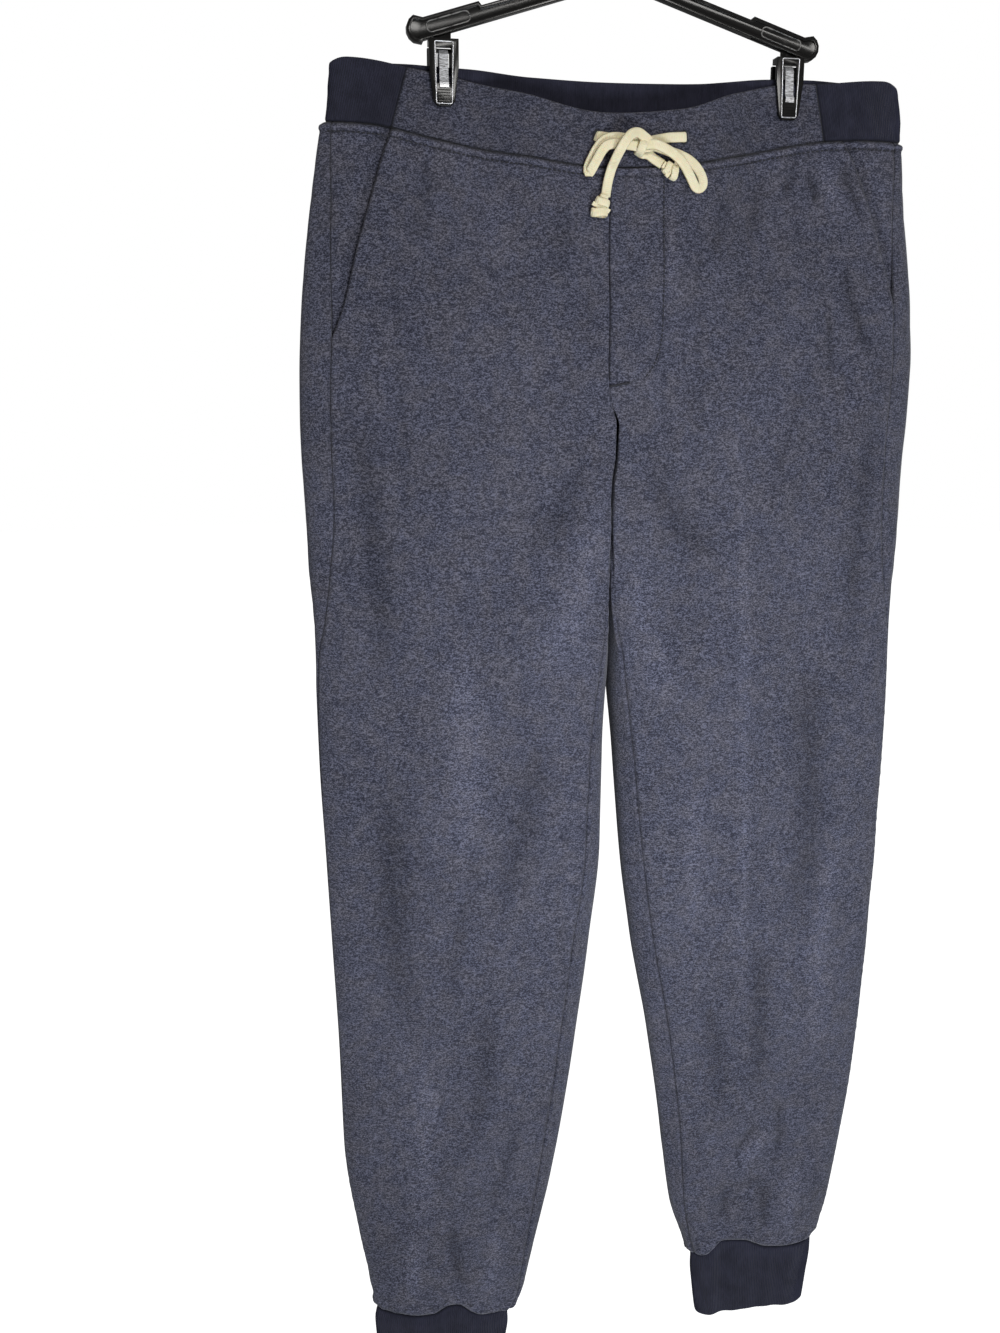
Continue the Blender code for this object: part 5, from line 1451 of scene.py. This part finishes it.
def buttonholes():
    """Close stitches round the two slots that the drawstring comes out of."""
    tubes = []
    radius = 0.35 * settings().thread
    for across, height in BUTTONHOLES:
        for turn in np.linspace(0, 2 * math.pi, 34, endpoint=False):
            ends = [on_front(across + reach * math.cos(turn), height + depth * math.sin(turn), 0.45)
                    for reach, depth in (SLOT_HALVES, BUTTONHOLE_HALVES)]
            tubes.append((capsule_rings(ends[0], ends[1], radius), True))
    add_stitches("buttonholes", tubes)


def fly_stitches():
    """Curved row down the fly's free edge and the bar-tack across its foot."""
    def on_fly(x, down, lift):
        """Point lifted off the fly, in metres."""
        point, form = front_surface(x, down)
        return (point + FORWARDS * (form + SEAM_GAP + lift)) * MM

    line = [on_fly(FLY_EDGE + fly_width(down) - FLY_STITCH_LINE, down, FLY_THICK * 0.5)
            for down in np.linspace(FLY_TOP + 8, FLY_BOTTOM - 3, 60)]
    tubes = stitch_tubes(np.array(line))
    tack = [on_fly(FLY_EDGE + BAR_TACK * t, FLY_BOTTOM + 3.6 - 2.6 * t + (0.6 if k % 2 else -0.6), 0.9)
            for k, t in enumerate(np.linspace(0, 1, 34))]
    for a, b in zip(tack, tack[1:]):
        tubes.append((capsule_rings(a, b, settings().thread / 2), True))
    add_stitches("fly_stitches", tubes)


# ---------------------------------------------------------------- hanger and clips
ARM_SLOPE = math.radians(17.3)
ARM_END_X = 136.5
ARM_END_Z = -131.5
WEB_FACE = 2.2            # half the thickness of the arm between its rims
RIM_MIDDLE_X = 117.5
RIM_HALF_LENGTH = 15.0
RIM_HALF_HEIGHT = 3.5
GRIP_RIDGES = 5
GRIP_FOOT = 2.8           # of the lowest ridge, above the jaw's foot
GRIP_PITCH = 1.75
GRIP_REACH = 4.1          # half the length of a ridge
GRIP_WIDTH = 0.8
GRIP_HEIGHT = 0.7
FRAME_REACH = (6.2, 5.3)  # half the width of a jaw's bright frame at its top and its foot
FRAME_ABOVE_WAIST = 11.8
FRAME_INSET = 0.7
FRAME_FOOT = 1.6
FRAME_CORNER = 1.2
LEAF_SHARE = 0.68         # of the spring's width that isn't hidden in the jaws' side walls


def bevelled_copy(node, width, angle=30, segments=2):
    """Fine copy of a hard solid with its edges rounded."""
    bm = bmesh.new()
    bm.from_mesh(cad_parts[node].data)
    bmesh.ops.remove_doubles(bm, verts=bm.verts, dist=2e-5)
    bmesh.ops.dissolve_limit(bm, angle_limit=math.radians(2), verts=bm.verts, edges=bm.edges)
    edges = [e for e in bm.edges if len(e.link_faces) == 2 and e.calc_face_angle(0.0) > math.radians(angle)]
    bmesh.ops.bevel(bm, geom=edges, offset=width, offset_type="OFFSET", segments=segments, profile=0.6,
                    affect="EDGES", clamp_overlap=True)
    mesh = bpy.data.meshes.new(node + "_fine")
    bm.to_mesh(mesh)
    bm.free()
    return mesh


def box_tube(low, high):
    """Rings of a block between two corners, in metres, long in Z."""
    x0, y0, z0 = low
    x1, y1, z1 = high
    return np.array([((x0, y0, z), (x1, y0, z), (x1, y1, z), (x0, y1, z)) for z in (z0, z1)])


def rounded_line(corners, radius, y):
    """Closed line through corners in the XZ plane at a depth, each rounded off, in metres."""
    line = []
    count = len(corners)
    for i in range(count):
        corner = np.array(corners[i])
        before = corner + unit(np.array(corners[i - 1]) - corner) * radius
        after = corner + unit(np.array(corners[(i + 1) % count]) - corner) * radius
        for t in np.linspace(0, 1, 7):
            x, z = (1 - t) ** 2 * before + 2 * t * (1 - t) * corner + t**2 * after
            line.append((x, y, z))
    return np.array(line)


def hanger_body():
    """Arms with rounded edges and a raised rim round each rail's long slot."""
    mesh = bevelled_copy("hanger_body", 0.0005)
    item = add_object("hanger_arms", mesh, "plastic", HARD_ANGLE)
    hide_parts("hanger_body")
    tubes = []
    for side in (-1, 1):
        along = np.array((math.cos(ARM_SLOPE), -side * math.sin(ARM_SLOPE)))
        above = np.array((side * math.sin(ARM_SLOPE), math.cos(ARM_SLOPE)))
        middle = np.array((side * RIM_MIDDLE_X, ARM_END_Z + (ARM_END_X - RIM_MIDDLE_X) * math.tan(ARM_SLOPE)))
        corners = [(middle + along * a * RIM_HALF_LENGTH + above * b * RIM_HALF_HEIGHT) * MM
                   for a, b in ((-1, 1), (1, 1), (1, -1), (-1, -1))]
        for face in (-1, 1):
            line = rounded_line(corners, RIM_HALF_HEIGHT * 0.95 * MM, face * WEB_FACE * MM)
            tubes.append((flat_rings(line, 0.0009, 0.0016, closed=True), False))
    add_object("rail_rims", join_tubes("rail_rims", tubes), "rubbed", HARD_ANGLE)


def wire_hook():
    """The hook keeps its solid and gets its finish."""
    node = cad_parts["hanger_hook"]
    node.data.materials.clear()
    node.data.materials.append(finish_of("wire"))


def jaw(kind, name, out):
    """One jaw with rounded edges, its grip ridges and its bright frame."""
    node = "clip_%s_%s" % (kind, name)
    low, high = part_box(node)
    item = add_object("jaw_%s_%s" % (kind, name), bevelled_copy(node, 0.6 * MM), "plastic", HARD_ANGLE)
    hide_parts(node)
    middle = (low.x + high.x) / 2
    face = low.y if out < 0 else high.y
    proud = face + out * GRIP_HEIGHT * MM
    tubes = []
    for k in range(GRIP_RIDGES):
        z = low.z + (GRIP_FOOT + k * GRIP_PITCH) * MM
        tubes.append((box_tube((middle - GRIP_REACH * MM, min(face, proud), z),
                               (middle + GRIP_REACH * MM, max(face, proud), z + GRIP_WIDTH * MM)), True))
    add_object("grip_%s_%s" % (kind, name), join_tubes("grip", tubes), "plastic", HARD_ANGLE)
    top = min(high.z, (WAIST_TOP + FRAME_ABOVE_WAIST) * MM) - FRAME_INSET * MM
    foot = low.z + FRAME_FOOT * MM
    upper, lower = (reach * MM for reach in FRAME_REACH)
    corners = [(middle - upper, top), (middle + upper, top), (middle + lower, foot), (middle - lower, foot)]
    line = rounded_line(corners, FRAME_CORNER * MM, face + out * 0.1 * MM)
    rings = flat_rings(line, 0.7 * MM, 0.8 * MM, closed=True)
    add_object("frame_%s_%s" % (kind, name), join_tubes("frame", [(rings, False)]), "steel", HARD_ANGLE)


def leaf_spring(name):
    """Strip that presses a clip's jaws together, as wide as it shows between their side walls."""
    node = "clip_spring_" + name
    leaf = bevelled_copy(node, 0.1 * MM, 30, 1)
    low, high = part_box(node)
    middle = (low.x + high.x) / 2
    for vertex in leaf.vertices:
        vertex.co.x = middle + (vertex.co.x - middle) * LEAF_SHARE
    item = add_object("leaf_" + name, leaf, "steel", HARD_ANGLE)
    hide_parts(node)


# ---------------------------------------------------------------- camera and stage
CAMERA_PLACE = (-0.250, -0.898, -0.363)
CAMERA_YAW = math.radians(10.6)
CAMERA_PITCH = math.radians(12.6)
FOCAL = 1250.0            # in pixels
PICTURE_HEIGHT = 1333
SENSOR = 36.0
FLOOR_CLEARANCE = 0.25
FLOOR_RADIUS = 9.0
AMBIENT = 0.2
Lamp = namedtuple("Lamp", "name place target size power colour")
LAMPS = (
    Lamp("key", (0.20, -1.00, 0.06), (0.0, 0.0, -0.52), 0.30, 3.7, (1.0, 0.98, 0.95)),
    Lamp("fill", (0.12, -0.72, -0.74), (0.0, 0.0, -0.72), 0.36, 4.8, (0.88, 0.94, 1.0)),
    Lamp("side", (-0.95, -0.40, -0.45), (-0.15, 0.0, -0.45), 0.40, 1.5, (0.96, 0.98, 1.0)),
)


def place_camera():
    """Camera in front of the joggers, turned and tipped towards them."""
    level = math.cos(CAMERA_PITCH)
    ahead = Vector((math.sin(CAMERA_YAW) * level, math.cos(CAMERA_YAW) * level, -math.sin(CAMERA_PITCH)))
    right = Vector((math.cos(CAMERA_YAW), -math.sin(CAMERA_YAW), 0))
    up = right.cross(ahead)
    data = bpy.data.cameras.new("Camera")
    data.sensor_width = SENSOR
    data.lens = FOCAL * SENSOR / PICTURE_HEIGHT
    data.dof.use_dof = False
    camera = bpy.data.objects.new("Camera", data)
    turn = Matrix((right, up, -ahead)).transposed()
    camera.matrix_world = Matrix.Translation(CAMERA_PLACE) @ turn.to_4x4()
    bpy.context.collection.objects.link(camera)
    bpy.context.scene.camera = camera


def area_light(lamp):
    """Round soft light, turned towards its target."""
    data = bpy.data.lights.new(lamp.name, "AREA")
    data.shape = "DISK"
    data.size = lamp.size
    data.energy = lamp.power
    data.color = lamp.colour
    item = bpy.data.objects.new(lamp.name, data)
    item.location = lamp.place
    item.rotation_mode = "QUATERNION"
    item.rotation_quaternion = (Vector(lamp.target) - Vector(lamp.place)).to_track_quat("-Z", "Y")
    bpy.context.collection.objects.link(item)


def pale_floor():
    """Round floor that shows white and sends little light back up."""
    low = SOLID_BOUNDS[0].z - FLOOR_CLEARANCE
    bm = bmesh.new()
    bmesh.ops.create_circle(bm, cap_ends=True, segments=96, radius=FLOOR_RADIUS,
                            matrix=Matrix.Translation((0, 0, low)))
    mesh = bpy.data.meshes.new("floor")
    bm.to_mesh(mesh)
    bm.free()
    floor = bpy.data.objects.new("floor", mesh)
    paint = Paint("pale_floor", Roughness=0.9, Base_Color=(0.7, 0.7, 0.7, 1), Specular_IOR_Level=0.1,
                  Emission_Strength=1.0)
    seen = paint.node("ShaderNodeLightPath")
    paint.feed(paint.shader.inputs["Emission Color"], paint.mix(seen, (0.0, 0.0, 0.0), (1.0, 1.0, 1.0)))
    mesh.materials.append(paint.material)
    bpy.context.collection.objects.link(floor)


def studio():
    """Plain pale floor, white surround and soft light."""
    pale_floor()
    world = bpy.data.worlds.new("surround")
    bpy.context.scene.world = world
    world.use_nodes = True
    tree = world.node_tree
    plain = tree.nodes["Background"]
    plain.inputs["Color"].default_value = (1, 1, 1, 1)
    plain.inputs["Strength"].default_value = AMBIENT
    seen = tree.nodes.new("ShaderNodeBackground")
    seen.inputs["Color"].default_value = (1, 1, 1, 1)
    path = tree.nodes.new("ShaderNodeLightPath")
    mix = tree.nodes.new("ShaderNodeMixShader")
    tree.links.new(path.outputs["Is Camera Ray"], mix.inputs[0])
    tree.links.new(plain.outputs[0], mix.inputs[1])
    tree.links.new(seen.outputs[0], mix.inputs[2])
    tree.links.new(mix.outputs[0], tree.nodes["World Output"].inputs["Surface"])
    for lamp in LAMPS:
        area_light(lamp)
    bpy.context.scene.view_settings.view_transform = "Standard"


# ---------------------------------------------------------------- operators
class JOGGERS_OT_camera(bpy.types.Operator):
    """Place the camera in front of the hanging trousers"""
    bl_idname = "joggers.camera"
    bl_label = "Camera"

    def execute(self, context):
        place_camera()
        return {"FINISHED"}


class JOGGERS_OT_drawstring(bpy.types.Operator):
    """Tie the flat cotton drawstring in its bow"""
    bl_idname = "joggers.drawstring"
    bl_label = "Drawstring"

    def execute(self, context):
        wrap = bow_knot()
        right_knot = end_knot("right")
        left_knot = end_knot("left")
        right = (LEAD_RIGHT, TURNS_RIGHT[0], LOOP_RIGHT, TURNS_RIGHT[1], TAIL_RIGHT)
        left = (LEAD_LEFT, TURNS_LEFT[0], LOOP_LEFT, TURNS_LEFT[1], TAIL_LEFT)
        draw_half("right", right)
        draw_half("left", left)
        return {"FINISHED"}


class JOGGERS_OT_legs(bpy.types.Operator):
    """Make the fronts and backs of both legs"""
    bl_idname = "joggers.legs"
    bl_label = "Legs"

    def execute(self, context):
        for side in (-1, 1):
            for kind in ("front", "back"):
                leg_piece(side, kind)
        return {"FINISHED"}


class JOGGERS_OT_pockets(bpy.types.Operator):
    """Make the facings behind the slanted pocket mouths"""
    bl_idname = "joggers.pockets"
    bl_label = "Pocket facings"

    def execute(self, context):
        for side in (-1, 1):
            pocket_facing(side)
        return {"FINISHED"}


class JOGGERS_OT_fly(bpy.types.Operator):
    """Make the mock fly"""
    bl_idname = "joggers.fly"
    bl_label = "Mock fly"

    def execute(self, context):
        fly_placket()
        return {"FINISHED"}


class JOGGERS_OT_waistband(bpy.types.Operator):
    """Make the fleece front and the rib back of the waistband"""
    bl_idname = "joggers.waistband"
    bl_label = "Waistband"

    def execute(self, context):
        waistband_front()
        waistband_rib()
        return {"FINISHED"}


class JOGGERS_OT_cuffs(bpy.types.Operator):
    """Make the rib cuffs"""
    bl_idname = "joggers.cuffs"
    bl_label = "Cuffs"

    def execute(self, context):
        for side in (-1, 1):
            cuff(side)
        return {"FINISHED"}


class JOGGERS_OT_stitching(bpy.types.Operator):
    """Sew the rows of stitches"""
    bl_idname = "joggers.stitching"
    bl_label = "Stitching"

    def execute(self, context):
        topstitch("waist_topstitch", BAND_HEIGHT + STITCH_LINE, WAIST_STITCH_ENDS, 90, 0.25)
        topstitch("hem_topstitch", LEG_END - HEM_STITCH_LINE, HEM_STITCH_ENDS, 60, 0.3)
        buttonholes()
        fly_stitches()
        return {"FINISHED"}


class JOGGERS_OT_hanger(bpy.types.Operator):
    """Finish the hanger, its hook and its clips"""
    bl_idname = "joggers.hanger"
    bl_label = "Hanger"

    def execute(self, context):
        hanger_body()
        wire_hook()
        for name in ("left", "right"):
            jaw("front", name, -1)
            jaw("back", name, 1)
            leaf_spring(name)
        return {"FINISHED"}


class JOGGERS_OT_stage(bpy.types.Operator):
    """Make the pale floor, the white surround and the soft light"""
    bl_idname = "joggers.stage"
    bl_label = "Stage"

    def execute(self, context):
        studio()
        return {"FINISHED"}


OPERATORS = (
    JOGGERS_OT_camera,
    JOGGERS_OT_drawstring,
    JOGGERS_OT_legs,
    JOGGERS_OT_pockets,
    JOGGERS_OT_fly,
    JOGGERS_OT_waistband,
    JOGGERS_OT_cuffs,
    JOGGERS_OT_stitching,
    JOGGERS_OT_hanger,
    JOGGERS_OT_stage,
)


class JOGGERS_PT_panel(bpy.types.Panel):
    """Sizes, colours and pieces of the joggers"""
    bl_idname = "JOGGERS_PT_panel"
    bl_label = "Joggers"
    bl_space_type = "VIEW_3D"
    bl_region_type = "UI"
    bl_category = "Joggers"

    def draw(self, context):
        for key in JoggerSettings.__annotations__:
            self.layout.prop(context.scene.joggers, key)
        for operator in OPERATORS:
            self.layout.operator(operator.bl_idname)


CLASSES = (JoggerSettings, *OPERATORS, JOGGERS_PT_panel)


def register():
    """Adds the settings, the operators and the panel to Blender."""
    for item in CLASSES:
        bpy.utils.register_class(item)
    bpy.types.Scene.joggers = PointerProperty(type=JoggerSettings)


def unregister():
    """Takes them away again."""
    del bpy.types.Scene.joggers
    for item in reversed(CLASSES):
        bpy.utils.unregister_class(item)


def main():
    """Makes every piece and the stage."""
    register()
    for operator in OPERATORS:
        group, name = operator.bl_idname.split(".")
        getattr(getattr(bpy.ops, group), name)()


if __name__ == "__main__":
    main()
